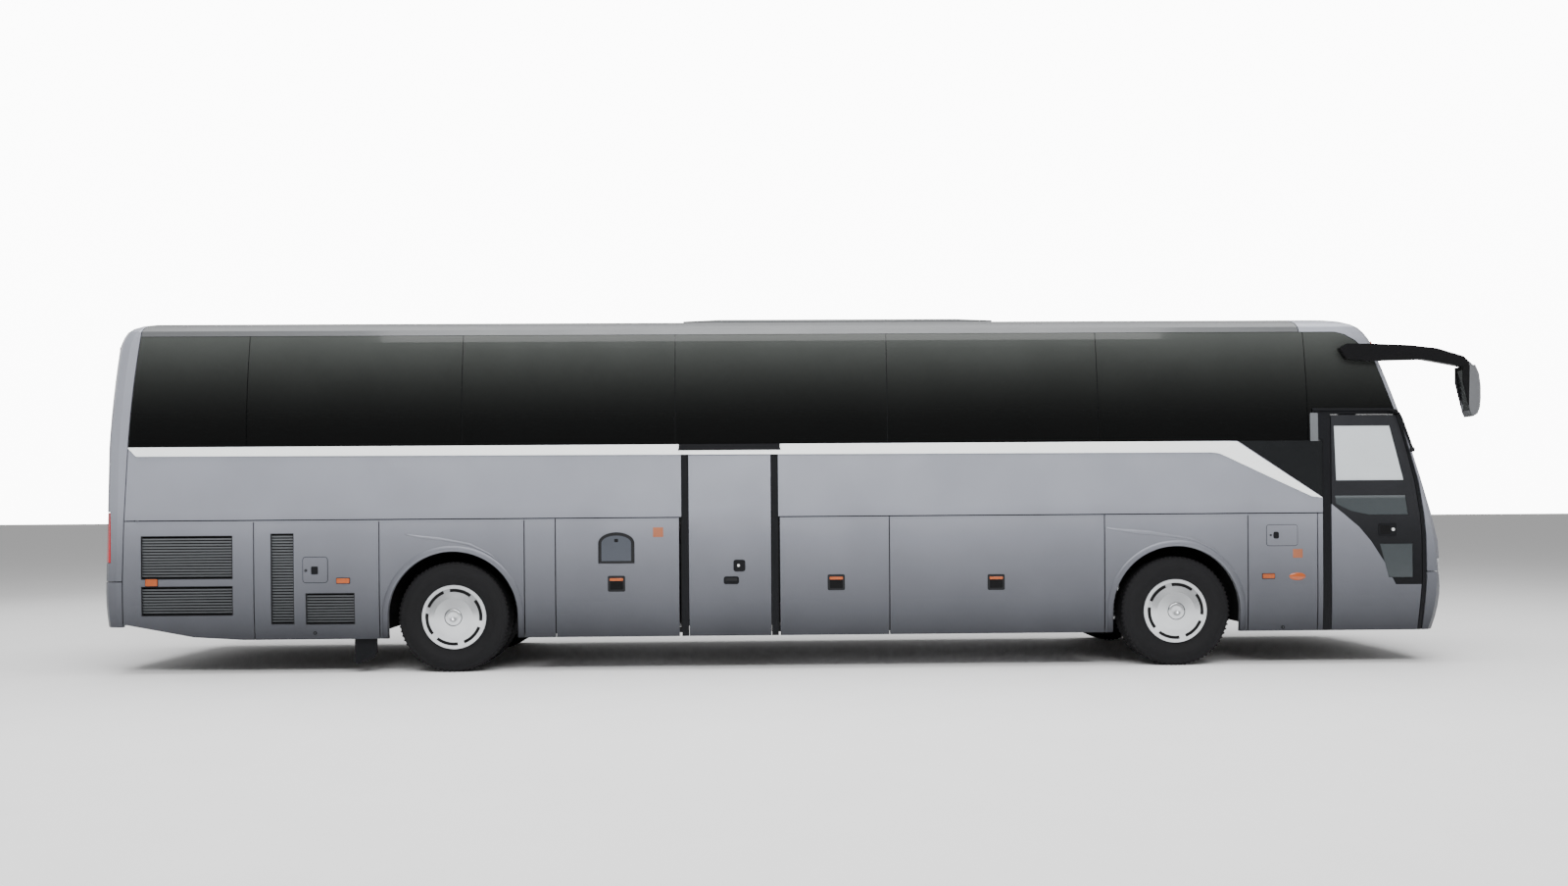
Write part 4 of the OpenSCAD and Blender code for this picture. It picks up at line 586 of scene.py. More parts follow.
class Paintshop:
    """Makes each finish once, when it is first asked for."""

    def __init__(self) -> None:
        """Starts with nothing made."""
        self.made: dict[str, bpy.types.Material] = {}

    def get(self, name: str) -> bpy.types.Material:
        """The material of that name.

        Args:
            name: name of the finish.

        Returns:
            The material, made at its first use.
        """
        if name not in self.made:
            self.made[name] = FINISHES[name].make()
        return self.made[name]


PAINT = Paintshop()
NODE_FINISH = {
    "front_door": "door_paint", "roof_shell": "roof_paint", "roof_ac_cover": "roof_paint",
    "windscreen": "screen_glass", "mirrors": "mirror_shell",
}


# ---------------------------------------------------------------- mesh pieces


class Piece:
    """Gathers shapes in several finishes into one mesh that rides on one body."""

    def __init__(self, name: str, body: str = "root", bevel: float = 0.0, smooth: bool = False) -> None:
        """Starts an empty piece.

        Args:
            name: name of the Blender object.
            body: the CAD body that it rides on.
            bevel: width of the bevel on its edges, in metres.
            smooth: shades its faces smooth.
        """
        self.name, self.body, self.bevel, self.smooth = name, body, bevel, smooth
        self.points: list[Point3] = []
        self.faces: list[tuple[int, ...]] = []
        self.finish_of: list[int] = []
        self.finishes: list[str] = []

    def add(self, points: Sequence[Point3], faces: Sequence[Sequence[int]], finish: str) -> None:
        """Adds a shape in one finish.

        Args:
            points: the shape's corners.
            faces: its faces, as indices of corners.
            finish: name of the finish.
        """
        if finish not in self.finishes:
            self.finishes.append(finish)
        base = len(self.points)
        self.points.extend(tuple(p) for p in points)
        self.faces.extend(tuple(base + i for i in face) for face in faces)
        self.finish_of.extend([self.finishes.index(finish)] * len(faces))

    def loft(self, rings: Sequence[Sequence[Point3]], finish: str, closed: bool = True,
             caps: bool = True) -> None:
        """Skins a row of rings of the same count.

        Args:
            rings: the rings, each a list of points.
            finish: name of the finish.
            closed: joins each ring's last point to its first.
            caps: closes the first and the last ring.
        """
        count = len(rings[0])
        steps = count if closed else count - 1
        faces = [(j * count + i, j * count + (i + 1) % count, (j + 1) * count + (i + 1) % count,
                  (j + 1) * count + i)
                 for j in range(len(rings) - 1) for i in range(steps)]
        if caps:
            faces.append(tuple(range(count)))
            faces.append(tuple((len(rings) - 1) * count + i for i in reversed(range(count))))
        self.add([p for ring in rings for p in ring], faces, finish)

    def side_prism(self, outline: Sequence[Point2], side: Side, out: float, inner: float, finish: str,
                   follow: bool = True) -> None:
        """A plate on a long side, drawn in X and Z.

        Args:
            outline: its corners.
            side: which side it lies on.
            out: how far its face stands out from the surface, in metres.
            inner: how far its back stands out, less than out.
            finish: name of the finish.
            follow: follows the flank's curve, or else stays flat.
        """
        rings = []
        for reach in (inner, out):
            rings.append([(x, side.value * ((SKIN.half_at(z) if follow else SKIN.half) + reach), z)
                          for x, z in outline])
        self.loft(rings, finish)

    def end_patch(self, end: End, y: Point2, z: Point2, out: float, thick: float, finish: str,
                  steps: int = 12) -> None:
        """A curved plate on an end, between two values of Y and of Z.

        Args:
            end: which end it lies on.
            y: its range across.
            z: its range up.
            out: how far its face stands out, in metres.
            thick: its thickness.
            finish: name of the finish.
            steps: number of strips across.
        """
        rings = []
        for index in range(steps + 1):
            across = y[0] + (y[1] - y[0]) * index / steps
            ring = []
            for reach, height in ((out, z[0]), (out, z[1]), (out - thick, z[1]), (out - thick, z[0])):
                ring.append((SKIN.x_at(end, across, height) + end.value * reach, across, height))
            rings.append(ring)
        self.loft(rings, finish)

    def revolve(self, profile: Sequence[Point2], centre: Point3, finish: str, steps: int = 48,
                axis: str = "Y", closed: bool = True) -> None:
        """Turns a profile of radius and reach about an axis through the centre.

        Args:
            profile: radius and reach of each point.
            centre: a point on the axis.
            finish: name of the finish.
            steps: number of segments.
            axis: Y, or X for any other value.
            closed: joins the profile's ends.
        """
        rings = []
        for index in range(steps):
            turn = 2 * math.pi * index / steps
            c, s = math.cos(turn), math.sin(turn)
            ring = []
            for radius, reach in profile:
                if axis == "Y":
                    ring.append((centre[0] + radius * c, centre[1] + reach, centre[2] + radius * s))
                else:
                    ring.append((centre[0] + reach, centre[1] + radius * c, centre[2] + radius * s))
            rings.append(ring)
        rings.append(rings[0])
        self.loft(rings, finish, closed=closed, caps=False)

    def tube(self, path: Sequence[Point3], radius: float, finish: str, sides: int = 10) -> None:
        """A round bar along a path.

        Args:
            path: points along its middle.
            radius: its radius, in metres.
            finish: name of the finish.
            sides: number of flats.
        """
        rings = []
        spots = [Vector(p) for p in path]
        for index, spot in enumerate(spots):
            ahead = spots[min(index + 1, len(spots) - 1)] - spots[max(index - 1, 0)]
            across = ahead.orthogonal().normalized() if index == 0 else across - across.project(ahead)
            across.normalize()
            up = ahead.cross(across).normalized()
            rings.append([tuple(spot + radius * (math.cos(a) * across + math.sin(a) * up))
                          for a in (2 * math.pi * k / sides for k in range(sides))])
        self.loft(rings, finish)

    def box(self, low: Point3, high: Point3, finish: str) -> None:
        """A plain block.

        Args:
            low: its lowest corner.
            high: its highest corner.
            finish: name of the finish.
        """
        x, y, z = zip(low, high)
        self.loft([[(x[i], y[0], z[0]), (x[i], y[1], z[0]), (x[i], y[1], z[1]),
                    (x[i], y[0], z[1])] for i in (0, 1)],
                  finish)

    def build(self) -> bpy.types.Object:
        """Makes the object, and lets it ride on its body.

        Returns:
            The finished object.
        """
        mesh = bpy.data.meshes.new(self.name)
        mesh.from_pydata(self.points, [], self.faces)
        for finish in self.finishes:
            mesh.materials.append(PAINT.get(finish))
        for polygon, finish in zip(mesh.polygons, self.finish_of):
            polygon.material_index = finish
            polygon.use_smooth = self.smooth
        work = bmesh.new()
        work.from_mesh(mesh)
        bmesh.ops.remove_doubles(work, verts=work.verts, dist=1e-6)
        bmesh.ops.recalc_face_normals(work, faces=work.faces)
        work.to_mesh(mesh)
        work.free()
        piece = bpy.data.objects.new(self.name, mesh)
        bpy.context.scene.collection.objects.link(piece)
        if self.bevel:
            bevel = piece.modifiers.new("edges", "BEVEL")
            bevel.width = self.bevel
            bevel.segments = 2
            bevel.limit_method = "ANGLE"
            bevel.angle_limit = math.radians(40)
        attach(piece, self.body)
        LOG.info("%s: %d points on %s", self.name, len(mesh.vertices), self.body)
        return piece


def side_span(side: Side, near: float, far: float) -> Point2:
    """The range of Y on one side between two distances from the centre plane.

    Args:
        side: which side.
        near: one distance.
        far: the other distance.

    Returns:
        The lower and the higher Y.
    """
    ends = sorted((side.value * near, side.value * far))
    return ends[0], ends[1]


def rounded(x0: float, x1: float, z0: float, z1: float, radius: float, steps: int = 4) -> list[Point2]:
    """A rectangle with round corners, counter-clockwise in X and Z.

    Args:
        x0: lowest X.
        x1: highest X.
        z0: lowest Z.
        z1: highest Z.
        radius: radius of the corners.
        steps: number of edges in each corner.

    Returns:
        The outline.
    """
    corners = ((x1 - radius, z0 + radius, -90), (x1 - radius, z1 - radius, 0), (x0 + radius, z1 - radius, 90),
               (x0 + radius, z0 + radius, 180))
    return [(cx + radius * math.cos(math.radians(a + 90 * k / steps)),
             cz + radius * math.sin(math.radians(a + 90 * k / steps)))
            for cx, cz, a in corners for k in range(steps + 1)]


# ---------------------------------------------------------------- geometry nodes


class NodeRow:
    """Geometry Nodes trees that repeat a small block along a line or round a circle."""

    def __init__(self) -> None:
        """Builds both trees."""
        self.line = self.make_line()
        self.ring = self.make_ring()

    @staticmethod
    def start(name: str, inputs: Sequence[tuple[str, str]]) -> tuple:
        """Starts a tree with its interface.

        Args:
            name: name of the tree.
            inputs: name and socket type of each input.

        Returns:
            The tree, its kit, its input node and its output node.
        """
        tree = bpy.data.node_groups.new(name, "GeometryNodeTree")
        tree.interface.new_socket("Geometry", in_out="OUTPUT", socket_type="NodeSocketGeometry")
        for label, kind in inputs:
            tree.interface.new_socket(label, in_out="INPUT", socket_type=kind)
        kit = NodeKit(tree)
        return tree, kit, kit.add("NodeGroupInput"), kit.add("NodeGroupOutput")

    @staticmethod
    def close(kit: NodeKit, start: bpy.types.Node, end: bpy.types.Node,
              geometry: bpy.types.NodeSocket) -> None:
        """Realizes the instances and sets the material.

        Args:
            kit: the tree's kit.
            start: the tree's input node.
            end: the tree's output node.
            geometry: the instances.
        """
        real = kit.add("GeometryNodeRealizeInstances")
        kit.link(geometry, real.inputs[0])
        paint = kit.add("GeometryNodeSetMaterial")
        kit.link(real.outputs[0], paint.inputs["Geometry"])
        kit.link(start.outputs["Material"], paint.inputs["Material"])
        kit.link(paint.outputs[0], end.inputs[0])

    def make_line(self) -> bpy.types.NodeTree:
        """Blocks along a straight line, each turned about X by the tilt.

        Returns:
            The tree.
        """
        tree, kit, start, end = self.start("slat_line", [
            ("Start", "NodeSocketVector"), ("Step", "NodeSocketVector"), ("Count", "NodeSocketInt"),
            ("Size", "NodeSocketVector"), ("Tilt", "NodeSocketFloat"), ("Material", "NodeSocketMaterial")])
        line = kit.add("GeometryNodeMeshLine", mode="OFFSET")
        kit.link(start.outputs["Count"], line.inputs["Count"])
        kit.link(start.outputs["Start"], line.inputs["Start Location"])
        kit.link(start.outputs["Step"], line.inputs["Offset"])
        cube = kit.add("GeometryNodeMeshCube")
        kit.link(start.outputs["Size"], cube.inputs["Size"])
        turn = kit.add("ShaderNodeCombineXYZ")
        kit.link(start.outputs["Tilt"], turn.inputs["X"])
        place = kit.add("GeometryNodeInstanceOnPoints")
        kit.link(line.outputs[0], place.inputs["Points"])
        kit.link(cube.outputs[0], place.inputs["Instance"])
        kit.link(turn.outputs[0], place.inputs["Rotation"])
        self.close(kit, start, end, place.outputs[0])
        return tree

    def make_ring(self) -> bpy.types.NodeTree:
        """Blocks round a wheel's circumference, centred on a point, with the wheel's axis along Y.

        Returns:
            The tree.
        """
        tree, kit, start, end = self.start("tread_ring", [
            ("Centre", "NodeSocketVector"), ("Radius", "NodeSocketFloat"), ("Count", "NodeSocketInt"),
            ("Size", "NodeSocketVector"), ("Material", "NodeSocketMaterial")])
        circle = kit.add("GeometryNodeMeshCircle")
        kit.link(start.outputs["Count"], circle.inputs["Vertices"])
        kit.link(start.outputs["Radius"], circle.inputs["Radius"])
        cube = kit.add("GeometryNodeMeshCube")
        kit.link(start.outputs["Size"], cube.inputs["Size"])
        align = kit.add("FunctionNodeAlignRotationToVector", axis="X")
        kit.link(kit.add("GeometryNodeInputPosition").outputs[0], align.inputs["Vector"])
        place = kit.add("GeometryNodeInstanceOnPoints")
        kit.link(circle.outputs[0], place.inputs["Points"])
        kit.link(cube.outputs[0], place.inputs["Instance"])
        kit.link(align.outputs[0], place.inputs["Rotation"])
        move = kit.add("GeometryNodeTransform")
        move.inputs["Rotation"].default_value = (math.pi / 2, 0, 0)
        kit.link(place.outputs[0], move.inputs["Geometry"])
        kit.link(start.outputs["Centre"], move.inputs["Translation"])
        self.close(kit, start, end, move.outputs[0])
        return tree

    @staticmethod
    def run(tree: bpy.types.NodeTree, name: str, body: str, finish: str,
            jobs: Sequence[dict[str, object]]) -> bpy.types.Object:
        """Runs a tree once for each job, and joins the results in one plain mesh.

        Args:
            tree: the tree.
            name: name of the Blender object.
            body: the CAD body that it rides on.
            finish: name of the finish.
            jobs: the values of the tree's inputs, one set for each run.

        Returns:
            The object.
        """
        joined = bmesh.new()
        sockets = {item.name: item.identifier for item in tree.interface.items_tree if item.in_out == "INPUT"}
        for job in jobs:
            seed = bpy.data.objects.new("seed", bpy.data.meshes.new("seed"))
            bpy.context.scene.collection.objects.link(seed)
            modifier = seed.modifiers.new("row", "NODES")
            modifier.node_group = tree
            for label, value in {**job, "Material": PAINT.get(finish)}.items():
                modifier[sockets[label]] = value
            found = seed.evaluated_get(bpy.context.evaluated_depsgraph_get())
            mesh = bpy.data.meshes.new_from_object(found)
            joined.from_mesh(mesh)
            bpy.data.objects.remove(seed)
            bpy.data.meshes.remove(mesh)
        mesh = bpy.data.meshes.new(name)
        joined.to_mesh(mesh)
        joined.free()
        mesh.materials.clear()
        mesh.materials.append(PAINT.get(finish))
        piece = bpy.data.objects.new(name, mesh)
        bpy.context.scene.collection.objects.link(piece)
        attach(piece, body)
        LOG.info("%s: %d points on %s", name, len(mesh.vertices), body)
        return piece


ROWS = NodeRow()


# ---------------------------------------------------------------- sub-assemblies


@dataclass(frozen=True)
class Panels:
    """The CAD nodes' own finishes."""

    overrides: dict[str, str] = field(default_factory=lambda: NODE_FINISH)

    def build(self) -> None:
        """Gives every CAD node its procedural finish."""
        for row in frame["record"]["subparts"]:
            node = row["node"]
            finish = self.overrides.get(node, row["material_slot"])
            mesh = frame["nodes"][node].data
            mesh.materials.clear()
            mesh.materials.append(PAINT.get(finish))
            LOG.info("%s: %s", node, finish)


@dataclass(frozen=True)
class Waistline:
    """Ledge under the glass band, painted white with a glow as a painted highlight, and thin lips along the
    seam below it.
    """

    edges: tuple[tuple[Point2, Point2], ...] = (
        ((-6.100, 2.088), (-6.106, 2.096)), ((-6.026, 2.013), (-6.03, 2.096)), ((-2.0, 2.004), (-2.0, 2.096)),
        ((3.92, 1.992), (3.97, 2.096)), ((3.99, 1.982), (4.075, 2.096)), ((4.05, 1.955), (4.16, 2.092)),
        ((4.50, 1.742), (4.575, 1.818)), ((4.86, 1.575), (4.962, 1.563)))
    proud: float = 0.0175
    lip: float = 0.012

    def build(self) -> None:
        """Lays the ledge on both sides and a lip on each body under the seam."""
        ledge = Piece("waist_ledge")
        for side in Side:
            rings = []
            for low, high in self.edges:
                rings.append([(x, side.value * (SKIN.half_at(z) + out), z)
                              for (x, z), out in ((low, -0.004), (low, self.proud), (high, 0.001),
                                                  (high, -0.004))])
            # painted highlight: the ledge is white and glowing
            ledge.loft(rings, "ledge_white")
        ledge.build()
        spans = [("root", Side.RIGHT, (-6.05, -2.205)), ("flap_right_rear", Side.RIGHT, (-2.196, -1.058)),
                 ("flap_right_middle", Side.RIGHT, (-0.121, 0.892)),
                 ("flap_right_front", Side.RIGHT, (0.901, 2.904)),
                 ("root", Side.RIGHT, (2.913, 4.87)), ("root", Side.LEFT, (-6.05, -2.205)),
                 ("flap_left_rear", Side.LEFT, (-2.196, -1.058)),
                 ("flap_left_middle", Side.LEFT, (-1.049, 0.892)),
                 ("flap_left_front", Side.LEFT, (0.901, 2.904)), ("root", Side.LEFT, (2.913, 5.2))]
        lips: dict[str, Piece] = {}
        for body, side, (x0, x1) in spans:
            piece = lips.setdefault(body, Piece(f"seam_lip_{body}", body))
            z = 1.414
            piece.side_prism([(x0, z - self.lip), (x1, z - self.lip), (x1, z), (x0, z)], side, 0.004, -0.003,
                             "silver_paint")
        for piece in lips.values():
            piece.build()


@dataclass(frozen=True)
class ArchTrim:
    """Lips round the wheel arches with the swage that sweeps over them."""

    axles: Point2 = (FRONT_AXLE, REAR_AXLE)
    centre_z: float = 0.522
    radius: float = 0.598
    width: float = 0.057
    foot: float = 0.322
    swages: tuple[tuple[Point2, ...], ...] = (
        ((-0.674, 1.299), (-0.25, 1.262), (0.1725, 1.190), (0.36, 1.095), (0.52, 0.925), (0.60, 0.76)),
        ((-0.44, 1.285), (-0.12, 1.250), (0.16, 1.196), (0.35, 1.098), (0.52, 0.925), (0.60, 0.76)))

    def lip_path(self, axle: float) -> list[tuple[float, float, float, float]]:
        """Centre and outward direction along a lip, from one foot over the arch to the other.

        Args:
            axle: X of the axle.

        Returns:
            The lip's path in X and Z.
        """
        path = [(axle + self.radius, self.foot, 1.0, 0.0)]
        path += [(axle + self.radius * math.cos(a), self.centre_z + self.radius * math.sin(a), math.cos(a),
                  math.sin(a))
                 for a in (math.pi * k / 48 for k in range(49))]
        path.append((axle - self.radius, self.foot, -1.0, 0.0))
        return path

    def build(self) -> None:
        """Builds the lips and the swages on both sides."""
        section = ((-0.001, -0.03), (-0.001, 0.007), (0.010, 0.011), (0.042, 0.008), (self.width, -0.002),
                   (self.width, -0.03))
        lips = Piece("arch_lips", smooth=True)
        swages = Piece("arch_swages", smooth=True)
        for side in Side:
            for axle, swage in zip(self.axles, self.swages):
                rings = []
                for x, z, dx, dz in self.lip_path(axle):
                    ring = []
                    for reach, out in section:
                        height = z + reach * dz
                        ring.append((x + reach * dx, side.value * (SKIN.half_at(height) + out), height))
                    rings.append(ring)
                lips.loft(rings, "silver_paint")
                swages.loft(self.swage_rings(axle, swage, side), "silver_paint")
        lips.build()
        swages.build()

    def swage_rings(self, axle: float, swage: Sequence[Point2], side: Side) -> list[list[Point3]]:
        """Rings of the raised wedge between a swage line and the arch's lip.

        Args:
            axle: X of the axle.
            swage: the swage's points from the axle.
            side: which side.

        Returns:
            The rings to loft.
        """
        rings = []
        steps = 8
        for (x0, z0), (x1, z1) in zip(swage, swage[1:]):
            for k in range(steps):
                x, z = x0 + (x1 - x0) * k / steps, z0 + (z1 - z0) * k / steps
                reach = min(self.radius + self.width - 0.006, math.hypot(x, z - self.centre_z) - 0.004)
                depth = min(1.0, (len(rings) + 1) / 30)
                reach = (1 - depth) * (math.hypot(x, z - self.centre_z) - 0.004) + depth * reach
                away = Vector((x, z - self.centre_z)).normalized() * reach
                foot = (away.x, away.y + self.centre_z)
                grown = 0.0045 * min(1.0, len(rings) / 22)
                rings.append([(axle + px, side.value * (SKIN.half_at(pz) + out), pz)
                              for px, pz, out in ((x, z, -0.004), (x, z, grown), (*foot, 0.0005),
                                                  (*foot, -0.004))])
        return rings


@dataclass(frozen=True)
class AirGrilles:
    """Louvred grilles in the skirt behind the rear wheels, on both sides."""

    spans: tuple[tuple[float, float, float, float], ...] = (
        (-5.9965, -5.1625, 0.882, 1.281), (-5.9965, -5.1625, 0.545, 0.817),
        (-4.8145, -4.6035, 0.460, 1.297), (-4.4975, -4.0485, 0.455, 0.745))
    pitch: float = 0.026
    depth: float = 0.017
    rim: float = 0.006
    tilt: float = 28.0

    def build(self) -> None:
        """Builds frames with backing sheets, and the slats by Geometry Nodes."""
        frames = Piece("side_grille_frames", bevel=0.0015)
        jobs = []
        for side in Side:
            for x0, x1, z0, z1 in self.spans:
                outer = [(x0, z0), (x1, z0), (x1, z1), (x0, z1)]
                inner = [(x0 + self.rim, z0 + self.rim), (x1 - self.rim, z0 + self.rim),
                         (x1 - self.rim, z1 - self.rim), (x0 + self.rim, z1 - self.rim)]
                rings = [[(x, side.value * (SKIN.half_at(z) + out), z) for x, z in shape]
                         for shape, out in ((inner, -0.03), (outer, -0.03), (outer, 0.003), (inner, 0.003),
                                            (inner, -0.03))]
                frames.loft(rings, "black_plastic", caps=False)
                frames.side_prism(outer, side, -0.034, -0.037, "liner")
                count = int((z1 - z0 - 2 * self.rim) / self.pitch)
                first = z0 + self.rim + (z1 - z0 - 2 * self.rim - (count - 1) * self.pitch) / 2
                tuck = SKIN.half_at(z1) - SKIN.half_at(z0)
                jobs.append({
                    "Start": ((x0 + x1) / 2, side.value * (SKIN.half_at(z0) - 0.012), first),
                    "Step": (0.0, side.value * tuck / count, self.pitch), "Count": count,
                    "Size": (x1 - x0 - 2 * self.rim, 0.004, self.depth),
                    "Tilt": -side.value * math.radians(self.tilt)})
        frames.build()
        ROWS.run(ROWS.line, "side_grille_slats", "root", "grille_slat", jobs)


@dataclass(frozen=True)
class SideFittings:
    """Locks, pulls, markers, labels and small hatches on the long sides."""

    pull: Point2 = (0.16, 0.146)
    markers: tuple[tuple[float, float, float, float], ...] = (
        (-5.954, -5.847, 0.823, 0.886), (-4.21, -4.094, 0.836, 0.880), (4.392, 4.503, 0.811, 0.852))
    hatch: tuple[float, float, float, float] = (-1.805, -1.470, 0.998, 1.286)
    filler: tuple[float, float, float, float] = (-4.524, -4.291, 0.839, 1.081)
    service: tuple[float, float, float, float] = (4.429, 4.725, 1.113, 1.313)

    def pulls(self) -> None:
        """Recessed pulls on the luggage flaps, a black square with an orange bar."""
        rows = (("flap_right_rear", Side.RIGHT, -1.638, 0.81),
                ("flap_right_middle", Side.RIGHT, 0.399, 0.807),
                ("flap_right_front", Side.RIGHT, 1.89, 0.797), ("flap_left_rear", Side.LEFT, -1.638, 0.81),
                ("flap_left_middle", Side.LEFT, -0.08, 0.807), ("flap_left_front", Side.LEFT, 1.89, 0.797))
        for body, side, x, z in rows:
            w, h = self.pull[0] / 2, self.pull[1] / 2
            piece = Piece(f"pull_{body}", body, bevel=0.0015)
            piece.side_prism(rounded(x - w, x + w, z - h, z + h, 0.014), side, 0.0035, -0.003,
                             "black_plastic")
            piece.side_prism(rounded(x - w + 0.02, x + w - 0.02, z - h + 0.018, z + h - 0.05, 0.008), side,
                             0.0042, 0.002, "liner")
            piece.side_prism(rounded(x - w + 0.018, x + w - 0.018, z + h - 0.047, z + h - 0.022, 0.008), side,
                             0.008, 0.002, "amber")
            piece.build()

    def framed(self, piece: Piece, span: tuple[float, float, float, float], radius: float, line: float,
               side: Side) -> None:
        """A small hatch shown by a dark line round it and a plate inside.

        Args:
            piece: the piece to add to.
            span: its lowest and highest X, then Z.
            radius: radius of its corners.
            line: width of the dark line.
            side: which side.
        """
        x0, x1, z0, z1 = span
        piece.side_prism(rounded(x0, x1, z0, z1, radius), side, 0.0012, -0.003, "seal_rubber")
        piece.side_prism(rounded(x0 + line, x1 - line, z0 + line, z1 - line, radius - line), side, 0.003,
                         -0.002, "silver_paint")

    def lock(self, piece: Piece, x: float, z: float, radius: float, side: Side) -> None:
        """A round lock with a pale barrel.

        Args:
            piece: the piece to add to.
            x: place along.
            z: height.
            radius: its radius.
            side: which side.
        """
        y = side.value * SKIN.half_at(z)
        out = side.value
        piece.revolve([(0.0001, out * 0.006), (radius, out * 0.006), (radius, -out * 0.002)], (x, y, z),
                      "seal_rubber", 20)
        piece.revolve([(0.0001, out * 0.008), (radius * 0.4, out * 0.008), (radius * 0.4, out * 0.004)],
                      (x, y, z), "grille_slat", 16)

    def build(self) -> None:
        """Builds the fittings of both sides."""
        self.pulls()
        fixed = Piece("side_fittings", bevel=0.0008)
        for side in Side:
            for x0, x1, z0, z1 in self.markers:
                fixed.side_prism(rounded(x0 - 0.006, x1 + 0.006, z0 - 0.006, z1 + 0.006, 0.008), side, 0.003,
                                 -0.003, "black_plastic")
                fixed.side_prism(rounded(x0, x1, z0, z1, 0.006), side, 0.009, 0.0, "amber")
            self.framed(fixed, self.filler, 0.03, 0.005, side)
            fixed.side_prism(rounded(-4.443, -4.381, 0.919, 0.991, 0.008), side, 0.006, 0.0, "seal_rubber")
            self.lock(fixed, -4.492, 0.955, 0.013, side)
            self.framed(fixed, self.service, 0.025, 0.004, side)
            self.lock(fixed, 4.470, 1.214, 0.010, side)
            fixed.side_prism(rounded(4.495, 4.545, 1.183, 1.245, 0.014), side, 0.007, 0.0, "seal_rubber")
            fixed.side_prism(rounded(4.679, 4.771, 1.001, 1.083, 0.004), side, 0.0012, -0.001, "label")
            self.bullet(fixed, (4.642, 4.799, 0.791, 0.863), side)
            for x, z in ((-4.416, 0.377), (4.586, 0.351)):
                self.lock(fixed, x, z, 0.016, side)
        fixed.build()
        self.arched_hatch(Side.RIGHT, "flap_right_rear")
        self.arched_hatch(Side.LEFT, "flap_left_rear")

    def bullet(self, piece: Piece, span: tuple[float, float, float, float], side: Side) -> None:
        """A side indicator with a domed amber lens.

        Args:
            piece: the piece to add to.
            span: its lowest and highest X, then Z.
            side: which side.
        """
        x0, x1, z0, z1 = span
        rings = []
        for k in range(7):
            share = k / 6
            grow = math.sqrt(max(0.0, 1 - share * share)) * 0.95 + 0.05
            cx, cz = (x0 + x1) / 2, (z0 + z1) / 2
            w, h = (x1 - x0) / 2 * grow, (z1 - z0) / 2 * grow
            rings.append([(cx + w * math.cos(a), side.value * (SKIN.half_at(cz) + 0.014 * share),
                           cz + h * math.sin(a))
                          for a in (2 * math.pi * i / 24 for i in range(24))])
        piece.loft(rings, "amber")

    def arched_hatch(self, side: Side, body: str) -> None:
        """Hatch with an arched head on the rear flap, in a wide black frame, and the blank label beside it.

        Args:
            side: which side.
            body: the flap that carries it.
        """
        x0, x1, z0, z1 = self.hatch
        piece = Piece(f"arched_hatch_{body}", body, bevel=0.001)

        def arch(inset: float, foot: float) -> list[Point2]:
            """The arch's outline, inset all round.

            Args:
                inset: distance inside the outer arch.
                foot: rise of its lower edge.

            Returns:
                The outline.
            """
            r = (x1 - x0) / 2 - inset
            cx, cz = (x0 + x1) / 2, z1 - (x1 - x0) * 0.30
            head = [(cx + r * math.cos(a),
                     cz + (z1 - inset - cz) * math.sin(a)) for a in (math.pi * k / 16 for k in range(17))]
            return [(x0 + inset, z0 + foot), (x1 - inset, z0 + foot)] + head

        piece.side_prism(arch(0.0, 0.0), side, 0.005, -0.002, "black_plastic")
        piece.side_prism(arch(0.030, 0.022), side, 0.0065, 0.002, "hatch_grey")
        piece.side_prism(rounded(-1.655, -1.62, 1.195, 1.225, 0.006), side, 0.009, 0.004, "seal_rubber")
        piece.side_prism(rounded(-1.298, -1.203, 1.239, 1.329, 0.004), side, 0.0012, -0.001, "label")
        piece.build()


